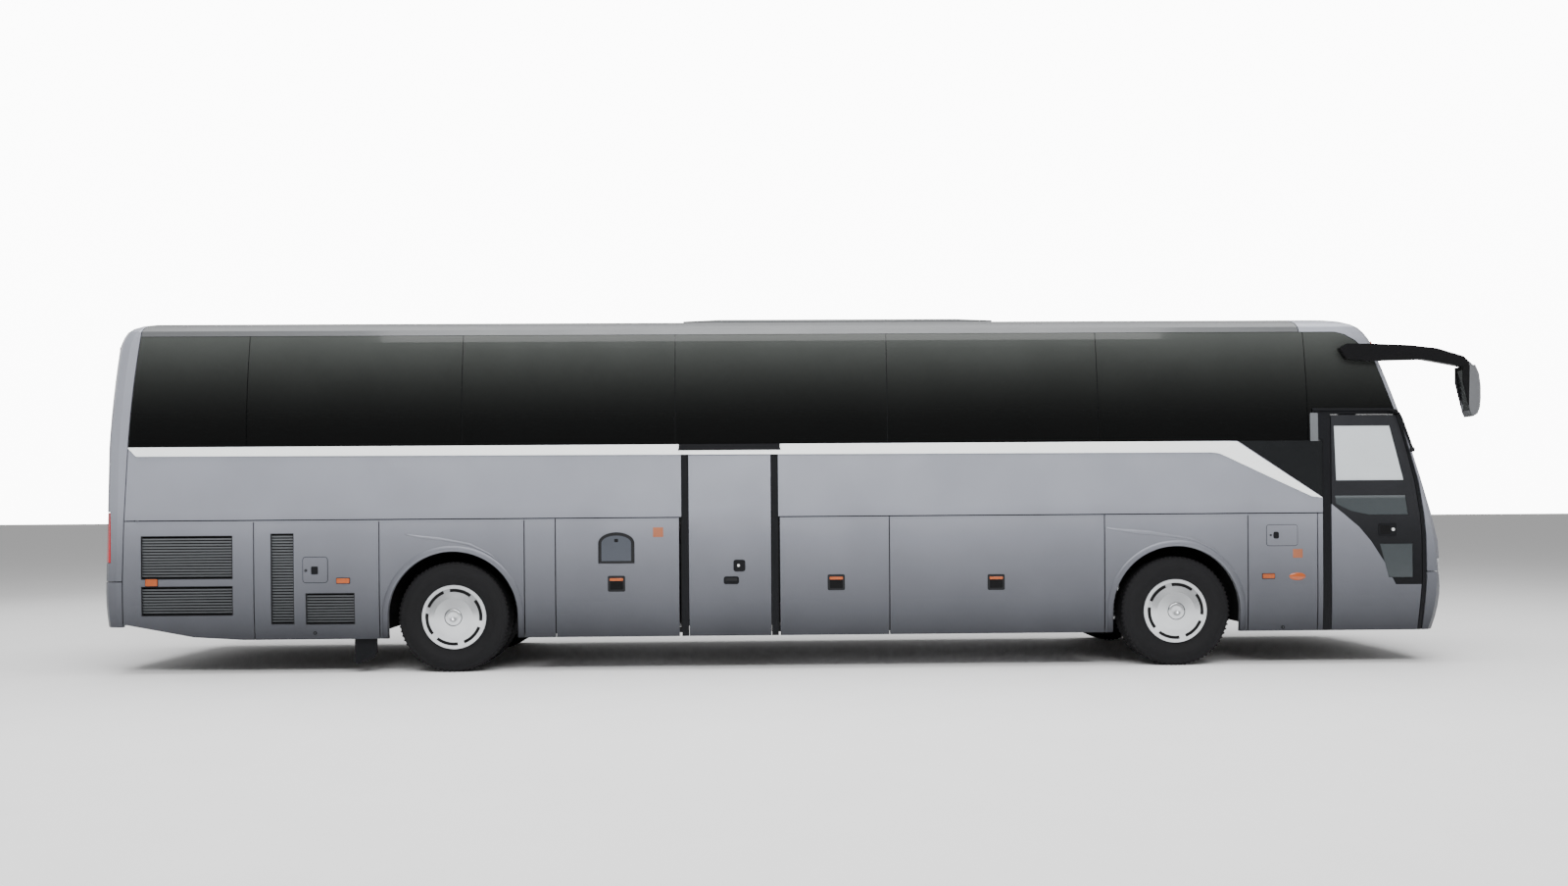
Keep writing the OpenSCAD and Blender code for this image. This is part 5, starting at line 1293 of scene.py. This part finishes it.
@dataclass(frozen=True)
class DoorTrim:
    """Gutters over the doors, and the handles, locks and grab bars of the leaves."""

    grab_radius: float = 0.016

    def build(self) -> None:
        """Builds the trim of both doors."""
        gutters = Piece("door_gutters", bevel=0.002)
        gutters.side_prism([(-1.062, 2.041), (-0.109, 2.041), (-0.115, 2.062), (-0.13, 2.080),
                            (-1.045, 2.085)], Side.RIGHT,
                           0.016, -0.002, "seal_rubber")
        path = [(4.872, 2.387), (5.60, 2.385), (5.655, 2.374), (5.69, 2.346), (5.712, 2.30), (5.812, 2.013)]
        gutters.tube([(x, -SKIN.half_at(z) - 0.004, z) for x, z in path], 0.013, "seal_rubber")
        gutters.side_prism(rounded(5.792, 5.832, 1.985, 2.03, 0.012), Side.RIGHT, 0.016, -0.004,
                           "black_plastic")
        gutters.side_prism(rounded(4.85, 4.925, 2.092, 2.357, 0.01), Side.RIGHT, 0.003, -0.003, "grille_slat")
        gutters.build()
        self.front_leaf()
        self.middle_leaf()

    def front_leaf(self) -> None:
        """Handle box, lock and inside grab bar of the front door."""
        leaf = Piece("front_door_fittings", "front_door", bevel=0.0012)
        leaf.side_prism(rounded(5.489, 5.657, 1.196, 1.319, 0.016), Side.RIGHT, 0.005, -0.003, "seal_rubber")
        leaf.side_prism(rounded(5.505, 5.60, 1.215, 1.30, 0.012), Side.RIGHT, 0.0062, 0.002, "liner")
        leaf.side_prism(rounded(5.61, 5.64, 1.245, 1.275, 0.014), Side.RIGHT, 0.009, 0.002, "white_plastic")
        leaf.build()
        bar = Piece("front_door_grab_bar", "front_door", smooth=True)
        for path in (((5.13, 1.62), (5.30, 1.60), (5.52, 1.42), (5.66, 1.02)), ((5.10, 1.86), (5.10, 1.58))):
            bar.tube([(x, -SKIN.half_at(z) + 0.09, z) for x, z in path], self.grab_radius, "chrome")
        bar.build()

    def middle_leaf(self) -> None:
        """Lock box and handle of the middle door."""
        leaf = Piece("middle_door_fittings", "middle_door", bevel=0.0012)
        leaf.side_prism(rounded(-0.554, -0.445, 0.915, 1.023, 0.022), Side.RIGHT, 0.005, -0.003,
                        "seal_rubber")
        leaf.side_prism(rounded(-0.52, -0.495, 0.958, 0.983, 0.012), Side.RIGHT, 0.009, 0.002,
                        "white_plastic")
        leaf.side_prism(rounded(-0.645, -0.504, 0.798, 0.869, 0.02), Side.RIGHT, 0.005, -0.003, "seal_rubber")
        leaf.side_prism(rounded(-0.63, -0.52, 0.828, 0.852, 0.01), Side.RIGHT, 0.011, 0.002, "black_plastic")
        leaf.build()


@dataclass(frozen=True)
class WheelDress:
    """Tyres with grooves and shoulder blocks, and caps on the wheel trims."""

    radius: float = 0.510
    bead: float = 0.2863
    half: float = 0.1425
    z: float = 0.510
    outer_y: float = 1.1065
    inner_y: float = 0.7615
    groove: Point2 = (0.009, 0.012)
    grooves: tuple[float, ...] = (-0.066, -0.022, 0.022, 0.066)

    def profile(self) -> list[Point2]:
        """The tyre's section, as radius and reach from its middle.

        Returns:
            Radius and reach of each point.
        """
        r, w, bead = self.radius, self.half, self.bead
        side = [(bead, -w + 0.038), (bead + 0.012, -w + 0.029), (bead + 0.03, -w + 0.025),
                (bead + 0.06, -w + 0.014),
                (bead + 0.088, -w + 0.006), (bead + 0.092, -w + 0.0035), (bead + 0.12, -w),
                (r - 0.062, -w + 0.002),
                (r - 0.058, -w + 0.0045), (r - 0.046, -w + 0.005), (r - 0.030, -w + 0.009),
                (r - 0.016, -w + 0.015),
                (r - 0.007, -w + 0.026), (r - 0.003, -w + 0.040), (r - 0.001, -w + 0.055)]
        tread = []
        for centre in self.grooves:
            a, depth = self.groove[0] / 2, self.groove[1]
            tread += [(r, centre - a), (r - depth, centre - a * 0.6), (r - depth, centre + a * 0.6),
                      (r, centre + a)]
        return side + tread + [(radius, -reach) for radius, reach in reversed(side)]

    def build(self) -> None:
        """Dresses the four wheel bodies."""
        for end, x in (("front", FRONT_AXLE), ("rear", REAR_AXLE)):
            for side in Side:
                name = f"{end}_{'left' if side is Side.LEFT else 'right'}"
                centres = [self.outer_y] if end == "front" else [self.outer_y, self.inner_y]
                tyre = Piece(f"tyre_rubber_{name}", f"wheel_{name}", smooth=True)
                for y in centres:
                    tyre.revolve(self.profile(), (x, side.value * y, self.z), "tyre", 96)
                rubber = tyre.build()
                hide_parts(f"tyre_{name}")
                self.cap(f"wheel_cap_{name}", f"wheel_{name}", x, side)
                jobs = [{"Centre": (x, side.value * y + edge * (self.half - 0.030), self.z),
                         "Radius": self.radius - 0.0085,
                         "Count": 72, "Size": (0.013, 0.017, 0.034)} for y in centres for edge in (-1, 1)]
                ROWS.run(ROWS.ring, f"tread_blocks_{name}", f"wheel_{name}", "tyre", jobs)

    def cap(self, name: str, body: str, x: float, side: Side) -> None:
        """Hub cap with its dark joint, on the trim's dome.

        Args:
            name: the wheel's name.
            body: the body that it rides on.
            x: X of the wheel's axle.
            side: which side.
        """
        out = side.value
        piece = Piece(name, body, smooth=True)
        place = (x, out * self.outer_y, self.z)
        piece.revolve([(0.0001, out * 0.1605), (0.050, out * 0.1598), (0.070, out * 0.1580),
                       (0.0765, out * 0.1550),
                       (0.0765, out * 0.140), (0.0001, out * 0.140)], place, "rim_steel", 48)
        piece.revolve([(0.0765, out * 0.1555), (0.0815, out * 0.1556), (0.0815, out * 0.148),
                       (0.0765, out * 0.148)],
                      place, "seal_rubber", 48)
        for k in range(6):
            rings = []
            for step in range(13):
                turn = math.radians(60 * k - 8 + 46 * step / 12)
                rings.append([(x + r * math.cos(turn), out * (self.outer_y + y), self.z + r * math.sin(turn))
                              for r, y in ((0.235, 0.120), (0.263, 0.120), (0.263, 0.1325), (0.235, 0.1365))])
            piece.loft(rings, "liner")
        piece.build()


@dataclass(frozen=True)
class SeatSet:
    """Padded seats in pairs, with plastic shells, arm rests and legs, and the driver's seat."""

    first: float = 4.6285
    pitch: float = 0.8
    rows: int = 12
    inner: float = 0.28
    width: float = 0.88
    floor: float = 1.39
    platform: float = 0.9
    stairwell: Point2 = (-1.0335, -0.1375)
    lean: float = -0.235

    def pad(self, piece: Piece, low: Point3, high: Point3, finish: str, lean: float = 0.0,
            soft: float = 0.03) -> None:
        """A rounded pad, leaning back by its height.

        Args:
            piece: the piece to add to.
            low: its lowest corner.
            high: its highest corner.
            finish: name of the finish.
            lean: shift in X for each metre of height.
            soft: radius of its edges.
        """
        rings = []
        for a in (0.0, 30.0, 60.0, 90.0):
            inset = soft * (1 - math.sin(math.radians(a)))
            rings.append((low[1] + soft * (1 - math.cos(math.radians(a))), inset))
        rings += [(low[1] + high[1] - y, inset) for y, inset in reversed(rings)]
        skins = []
        for y, inset in rings:
            shape = rounded(low[0] + inset, high[0] - inset, low[2] + inset, high[2] - inset, soft, 3)
            skins.append([(x + lean * (z - low[2]), y, z) for x, z in shape])
        piece.loft(skins, finish)

    def seat(self, piece: Piece, x: float, y0: float, y1: float, foot: float) -> None:
        """One seat: cushion, backrest with its head roll, and the shell behind it.

        Args:
            piece: the piece to add to.
            x: X of the cushion's front.
            y0: lowest Y.
            y1: highest Y.
            foot: height of the floor.
        """
        low = foot + 0.33
        self.pad(piece, (x - 0.50, y0, low + 0.005), (x, y1, low + 0.118), "seat_cloth", soft=0.036)
        self.pad(piece, (x - 0.540, y0, low + 0.10), (x - 0.458, y1, low + 0.60), "seat_cloth", self.lean,
                 0.034)
        self.pad(piece, (x - 0.655, y0 + 0.03, low + 0.585), (x - 0.580, y1 - 0.03, low + 0.715),
                 "seat_cloth", self.lean * 0.3, 0.032)
        self.pad(piece, (x - 0.560, y0 + 0.01, low + 0.10), (x - 0.538, y1 - 0.01, low + 0.62),
                 "black_plastic", self.lean, 0.01)

    def build(self) -> None:
        """Builds all seats as one padded piece and their frames as another."""
        pads = Piece("padded_seats", smooth=True)
        frames = Piece("seat_frames", bevel=0.003)
        for row in range(self.rows):
            x = self.first - row * self.pitch
            for side in Side:
                over_stairs = x - 0.75 <= self.stairwell[1] - 0.045 and x >= self.stairwell[0] + 0.025
                if side is Side.RIGHT and over_stairs:
                    continue
                for k in range(2):
                    near = self.inner + k * self.width / 2 + 0.004
                    ys = side_span(side, near, near + self.width / 2 - 0.008)
                    self.seat(pads, x, ys[0], ys[1], self.floor)
                self.legs(frames, x, side)
        self.seat(pads, 5.432, 0.38, 0.86, self.platform)
        frames.box((5.11, 0.46, self.platform + 0.001), (5.29, 0.78, self.platform + 0.33), "black_plastic")
        cushions = pads.build()
        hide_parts("seats")
        frames.build()

    def legs(self, piece: Piece, x: float, side: Side) -> None:
        """Two legs, a rail and the aisle arm rest of a pair of seats.

        Args:
            piece: the piece to add to.
            x: X of the cushion's front.
            side: which side.
        """
        low = self.floor + 0.33
        for y in (self.inner + 0.07, self.inner + self.width - 0.10):
            ys = side_span(side, y, y + 0.035)
            piece.box((x - 0.33, ys[0], self.floor + 0.001), (x - 0.14, ys[1], low), "frame_steel")
        ys = side_span(side, self.inner + 0.02, self.inner + self.width - 0.02)
        piece.box((x - 0.40, ys[0], low - 0.03), (x - 0.06, ys[1], low + 0.005), "frame_steel")
        ys = side_span(side, self.inner - 0.012, self.inner + 0.03)
        piece.box((x - 0.46, ys[0], low + 0.27), (x - 0.14, ys[1], low + 0.305), "black_plastic")


@dataclass(frozen=True)
class FrontFace:
    """Wipers, lamp reflectors, grilles, fog lamps and a blank plate on the front."""

    lamp_y: Point2 = (0.835, 1.035)
    lamp_z: float = 0.805

    def build(self) -> None:
        """Builds the front's trim."""
        trim = Piece("front_trim", bevel=0.002)
        trim.end_patch(End.FRONT, (-0.58, 0.58), (0.895, 1.02), 0.004, 0.012, "black_plastic")
        trim.end_patch(End.FRONT, (-0.66, 0.66), (0.40, 0.545), 0.004, 0.012, "black_plastic")
        trim.end_patch(End.FRONT, (-0.27, 0.27), (0.60, 0.73), 0.010, 0.012, "white_plastic", 8)
        for side in Side:
            y = side_span(side, 0.76, 0.99)
            trim.end_patch(End.FRONT, y, (0.40, 0.545), 0.004, 0.012, "black_plastic", 8)
            trim.end_patch(End.FRONT, (y[0] + 0.05, y[1] - 0.05), (0.425, 0.52), 0.010, 0.012, "lamp_clear",
                           6)
            y = side_span(side, 0.98, 1.08)
            trim.end_patch(End.FRONT, y, (3.02, 3.05), 0.008, 0.012, "amber", 4)
        trim.build()
        slats = []
        for low, high, half in ((0.905, 1.01, 0.56), (0.41, 0.535, 0.64)):
            for k in range(5):
                z = low + (high - low) * (k + 0.5) / 5
                slats.append((z, half))
        bars = Piece("front_grille_bars", bevel=0.0012)
        for z, half in slats:
            bars.end_patch(End.FRONT, (-half, half), (z - 0.006, z + 0.006), 0.012, 0.012, "grille_slat")
        bars.build()
        self.lamps()
        self.wipers()

    def lamps(self) -> None:
        """Reflector bowls and bulbs behind the lamp covers."""
        bowls = Piece("headlamp_reflectors", smooth=True)
        backs = Piece("headlamp_backs")
        for side in Side:
            y = side_span(side, 0.72, 1.16)
            backs.end_patch(End.FRONT, y, (0.68, 0.955), -0.075, 0.004, "chrome", 10)
            for across in self.lamp_y:
                place = (SKIN.x_at(End.FRONT, across, self.lamp_z) - 0.028, side.value * across, self.lamp_z)
                bowls.revolve([(0.082, 0.0), (0.085, 0.0), (0.070, -0.028), (0.045, -0.042), (0.0001, -0.048),
                               (0.0001, -0.044),
                               (0.043, -0.038), (0.066, -0.026)], place, "chrome", 32, axis="X")
                bowls.revolve([(0.0001, -0.006), (0.012, -0.012), (0.012, -0.042), (0.0001, -0.042)], place,
                              "white_plastic", 16, axis="X")
        bowls.build()
        backs.build()

    def wipers(self) -> None:
        """Two wipers parked along the foot of the windscreen."""
        piece = Piece("wipers", smooth=True)
        for side in Side:
            def spot(y: float, z: float, out: float) -> Point3:
                """A point off the glass."""
                return (SKIN.x_at(End.FRONT, y, z) + out, side.value * y, z)
            piece.tube([spot(0.16, 1.235, 0.004), spot(0.16, 1.235, 0.030), spot(0.40, 1.34, 0.034),
                        spot(0.56, 1.40, 0.022)],
                       0.009, "black_plastic")
            piece.tube([spot(y, 1.385 + (y - 0.56) * 0.06, 0.013) for y in (0.14, 0.35, 0.56, 0.77, 0.98)],
                       0.008, "seal_rubber")
        piece.build()


@dataclass(frozen=True)
class RearFace:
    """Louvres, handle and blank plate on the engine lid, lamp details, reflectors and exhaust."""

    louvre_z: Point2 = (1.40, 1.68)
    louvre_half: float = 0.62

    def build(self) -> None:
        """Builds the rear's trim."""
        lid = Piece("engine_lid_trim", "engine_lid", bevel=0.0015)
        lid.end_patch(End.REAR, (-self.louvre_half, self.louvre_half), self.louvre_z, 0.003, 0.006,
                      "black_plastic", 16)
        rows = 12
        for k in range(rows):
            z = self.louvre_z[0] + (self.louvre_z[1] - self.louvre_z[0]) * (k + 0.5) / rows
            lid.end_patch(End.REAR, (-self.louvre_half + 0.015, self.louvre_half - 0.015),
                          (z - 0.006, z + 0.006), 0.004, 0.006, "grille_slat", 16)
        lid.end_patch(End.REAR, (-0.27, 0.27), (1.02, 1.15), 0.006, 0.008, "white_plastic", 8)
        lid.end_patch(End.REAR, (-0.30, 0.30), (1.175, 1.205), 0.008, 0.010, "black_plastic", 8)
        lid.end_patch(End.REAR, (-0.10, 0.10), (0.905, 0.945), 0.003, 0.005, "seal_rubber", 4)
        lid.build()
        rear = Piece("rear_trim", bevel=0.0015)
        for side in Side:
            for y0, y1, z0, z1, finish in ((0.80, 0.93, 0.60, 0.65, "lamp_red"),
                                           (0.95, 1.05, 0.60, 0.65, "lamp_clear"),
                                           (0.99, 1.10, 3.015, 3.045, "lamp_red")):
                y = side_span(side, y0, y1)
                rear.end_patch(End.REAR, y, (z0, z1), 0.003, 0.006, finish, 4)
        rear.end_patch(End.REAR, (-0.22, 0.22), (2.035, 2.065), 0.008, 0.010, "lamp_red", 8)
        rear.build()
        pipe = Piece("exhaust_tip", smooth=True)
        pipe.tube([(-5.7, 0.72, 0.42), (-6.2, 0.72, 0.42), (-6.33, 0.72, 0.40)], 0.055, "axle_steel", 20)
        pipe.build()


@dataclass(frozen=True)
class Mirrors:
    """Mirror glasses in the two heads."""

    nose: float = SKIN.nose

    def build(self) -> None:
        """Builds both mirrors' glass."""
        glass = Piece("mirror_glasses")
        for side in Side:
            y0, y1 = side.value * 1.165, side.value * 1.275
            rings = [[(self.nose + x - dx, y, z) for x, z in ((0.063, 2.750),
                                                              (0.123, 2.380))] for dx in (0.0, 0.004)
                     for y in (y0, y1)]
            top = [(rings[0][0], rings[1][0], rings[1][1], rings[0][1]),
                   (rings[2][0], rings[3][0], rings[3][1], rings[2][1])]
            glass.loft(top, "mirror_glass")
        glass.build()


@dataclass(frozen=True)
class RoofFittings:
    """Louvres on the cooling unit's cover and ribs on the roof hatches."""

    cover_x: float = 0.4645
    cover_z: float = 3.358

    def build(self) -> None:
        """Builds the roof's trim."""
        cover = Piece("cooling_cover_grilles", bevel=0.001)
        for centre in (-0.95, 0.0, 0.95):
            x = self.cover_x + centre
            cover.box((x - 0.30, -0.42, self.cover_z - 0.02), (x + 0.30, 0.42, self.cover_z - 0.006),
                      "black_plastic")
        cover.build()
        jobs = [{"Start": (self.cover_x + centre - 0.27, 0.0, self.cover_z - 0.004),
                 "Step": (0.045, 0.0, 0.0), "Count": 13,
                 "Size": (0.012, 0.80, 0.006), "Tilt": 0.0} for centre in (-0.95, 0.0, 0.95)]
        ROWS.run(ROWS.line, "cooling_cover_slats", "root", "grille_slat", jobs)
        for name, x in (("roof_hatch_front", 3.2525), ("roof_hatch_rear", -3.5675)):
            ribs = Piece(f"{name}_ribs", name, bevel=0.001)
            for k in range(5):
                y = -0.22 + 0.11 * k
                ribs.box((x - 0.36, y - 0.012, 3.3505), (x + 0.36, y + 0.012, 3.3535), "black_plastic")
            ribs.build()


@dataclass(frozen=True)
class Cabin:
    """Dashboard instruments, switches and poles seen through the glass."""

    dash_x: float = 5.87

    def build(self) -> None:
        """Builds the driver's area."""
        piece = Piece("cabin_fittings", bevel=0.002)
        piece.box((self.dash_x - 0.10, 0.36, 1.343), (self.dash_x + 0.02, 0.88, 1.352), "black_plastic")
        for y in (0.45, 0.62, 0.79):
            piece.revolve([(0.0001, -0.012), (0.045, -0.012), (0.05, 0.0), (0.0001, 0.0)],
                          (self.dash_x - 0.251, y, 1.255), "white_plastic", 24, axis="X")
        for k in range(6):
            piece.box((self.dash_x - 0.20, -0.20 + 0.07 * k, 1.29),
                      (self.dash_x - 0.17, -0.17 + 0.07 * k, 1.298), "white_plastic")
        piece.build()
        poles = Piece("entry_poles", smooth=True)
        for x, y in ((5.02, -0.40), (4.40, -0.22), (4.40, 0.22)):
            top = 3.05
            foot = 0.905 if x > 5.0 else 1.392
            poles.tube([(x, y, foot), (x, y, top)], 0.016, "chrome")
        poles.build()


@dataclass(frozen=True)
class Studio:
    """Floor, soft lights and camera."""

    eye: Point3 = (-0.3065, -12.773, 1.53)
    yaw: float = -1.12
    roll: float = 0.4
    lens: float = 28.44
    shift: float = 0.0394
    sky: float = 0.42
    backdrop: float = 12.0
    floor_reach: float = 120.0
    view_depth: float = 200.0

    def camera(self) -> None:
        """Sets the scene's camera."""
        data = bpy.data.cameras.new("camera")
        data.lens = self.lens
        data.shift_y = self.shift
        data.clip_end = self.view_depth
        camera = bpy.data.objects.new("camera", data)
        base = Euler((math.pi / 2, 0.0, math.radians(self.yaw))).to_matrix()
        ahead = base @ Vector((0, 0, -1))
        turned = Matrix.Rotation(math.radians(self.roll), 3, ahead) @ base
        camera.matrix_world = Matrix.Translation(self.eye) @ turned.to_4x4()
        bpy.context.scene.collection.objects.link(camera)
        bpy.context.scene.camera = camera

    def light(self, name: str, place: Point3, aim: Point3, size: Point2, power: float,
              colour: Colour = (1, 1, 1)) -> None:
        """A soft rectangular light.

        Args:
            name: name of the light.
            place: its centre.
            aim: the point that it faces.
            size: its width and height.
            power: its power in watts.
            colour: its colour.
        """
        data = bpy.data.lights.new(name, "AREA")
        data.shape = "RECTANGLE"
        data.size, data.size_y = size
        data.energy = power
        data.color = colour
        lamp = bpy.data.objects.new(name, data)
        lamp.location = place
        lamp.rotation_euler = (Vector(aim) - Vector(place)).to_track_quat("-Z", "Y").to_euler()
        bpy.context.scene.collection.objects.link(lamp)

    def floor(self) -> None:
        """A plain pale floor."""
        finish = Finish("studio_floor", (0.95, 0.95, 0.95), 0.9, grain=3.0, patch=0.01)
        mesh = bpy.data.meshes.new("studio_floor")
        reach = self.floor_reach
        corners = [(-reach, -reach, 0), (reach, -reach, 0), (reach, reach, 0), (-reach, reach, 0)]
        mesh.from_pydata(corners, [], [(0, 1, 2, 3)])
        mesh.materials.append(finish.make())
        floor = bpy.data.objects.new("studio_floor", mesh)
        bpy.context.scene.collection.objects.link(floor)

    def world(self) -> None:
        """A pale sky, brighter above."""
        world = bpy.data.worlds.new("studio_sky")
        world.use_nodes = True
        kit = NodeKit(world.node_tree)
        back = world.node_tree.nodes["Background"]
        split = kit.add("ShaderNodeSeparateXYZ")
        kit.link(kit.add("ShaderNodeTexCoord").outputs["Generated"], split.inputs[0])
        shade = kit.remap(split.outputs["Z"], -0.1, 0.5, 0.93, 1.0)
        kit.link(shade, back.inputs["Color"])
        seen = kit.add("ShaderNodeLightPath").outputs["Is Camera Ray"]
        kit.link(kit.remap(seen, 0.0, 1.0, self.sky, self.backdrop), back.inputs["Strength"])
        bpy.context.scene.world = world

    def build(self) -> None:
        """Builds the studio."""
        self.floor()
        self.world()
        self.light("key", (0.0, -12.0, 11.5), (0.0, 0.0, 1.2), (16.0, 4.0), 2100.0)
        self.light("top", (0.0, 0.0, 10.0), (0.0, 0.0, 0.0), (20.0, 12.0), 2200.0)
        self.light("front", (14.0, -4.0, 5.0), (5.0, 0.0, 1.5), (6.0, 5.0), 60.0)
        self.light("rear", (-13.0, 6.0, 6.0), (-4.0, 0.0, 1.5), (6.0, 5.0), 120.0)
        self.camera()


def main() -> None:
    """Builds every sub-assembly."""
    logging.basicConfig(level=logging.INFO, format="%(message)s")
    parts = (Panels(), Waistline(), ArchTrim(), AirGrilles(), SideFittings(), DoorTrim(), WheelDress(),
             SeatSet(), FrontFace(), RearFace(), Mirrors(), RoofFittings(), Cabin(), Studio())
    for part in parts:
        part.build()


if __name__ == "__main__":
    main()
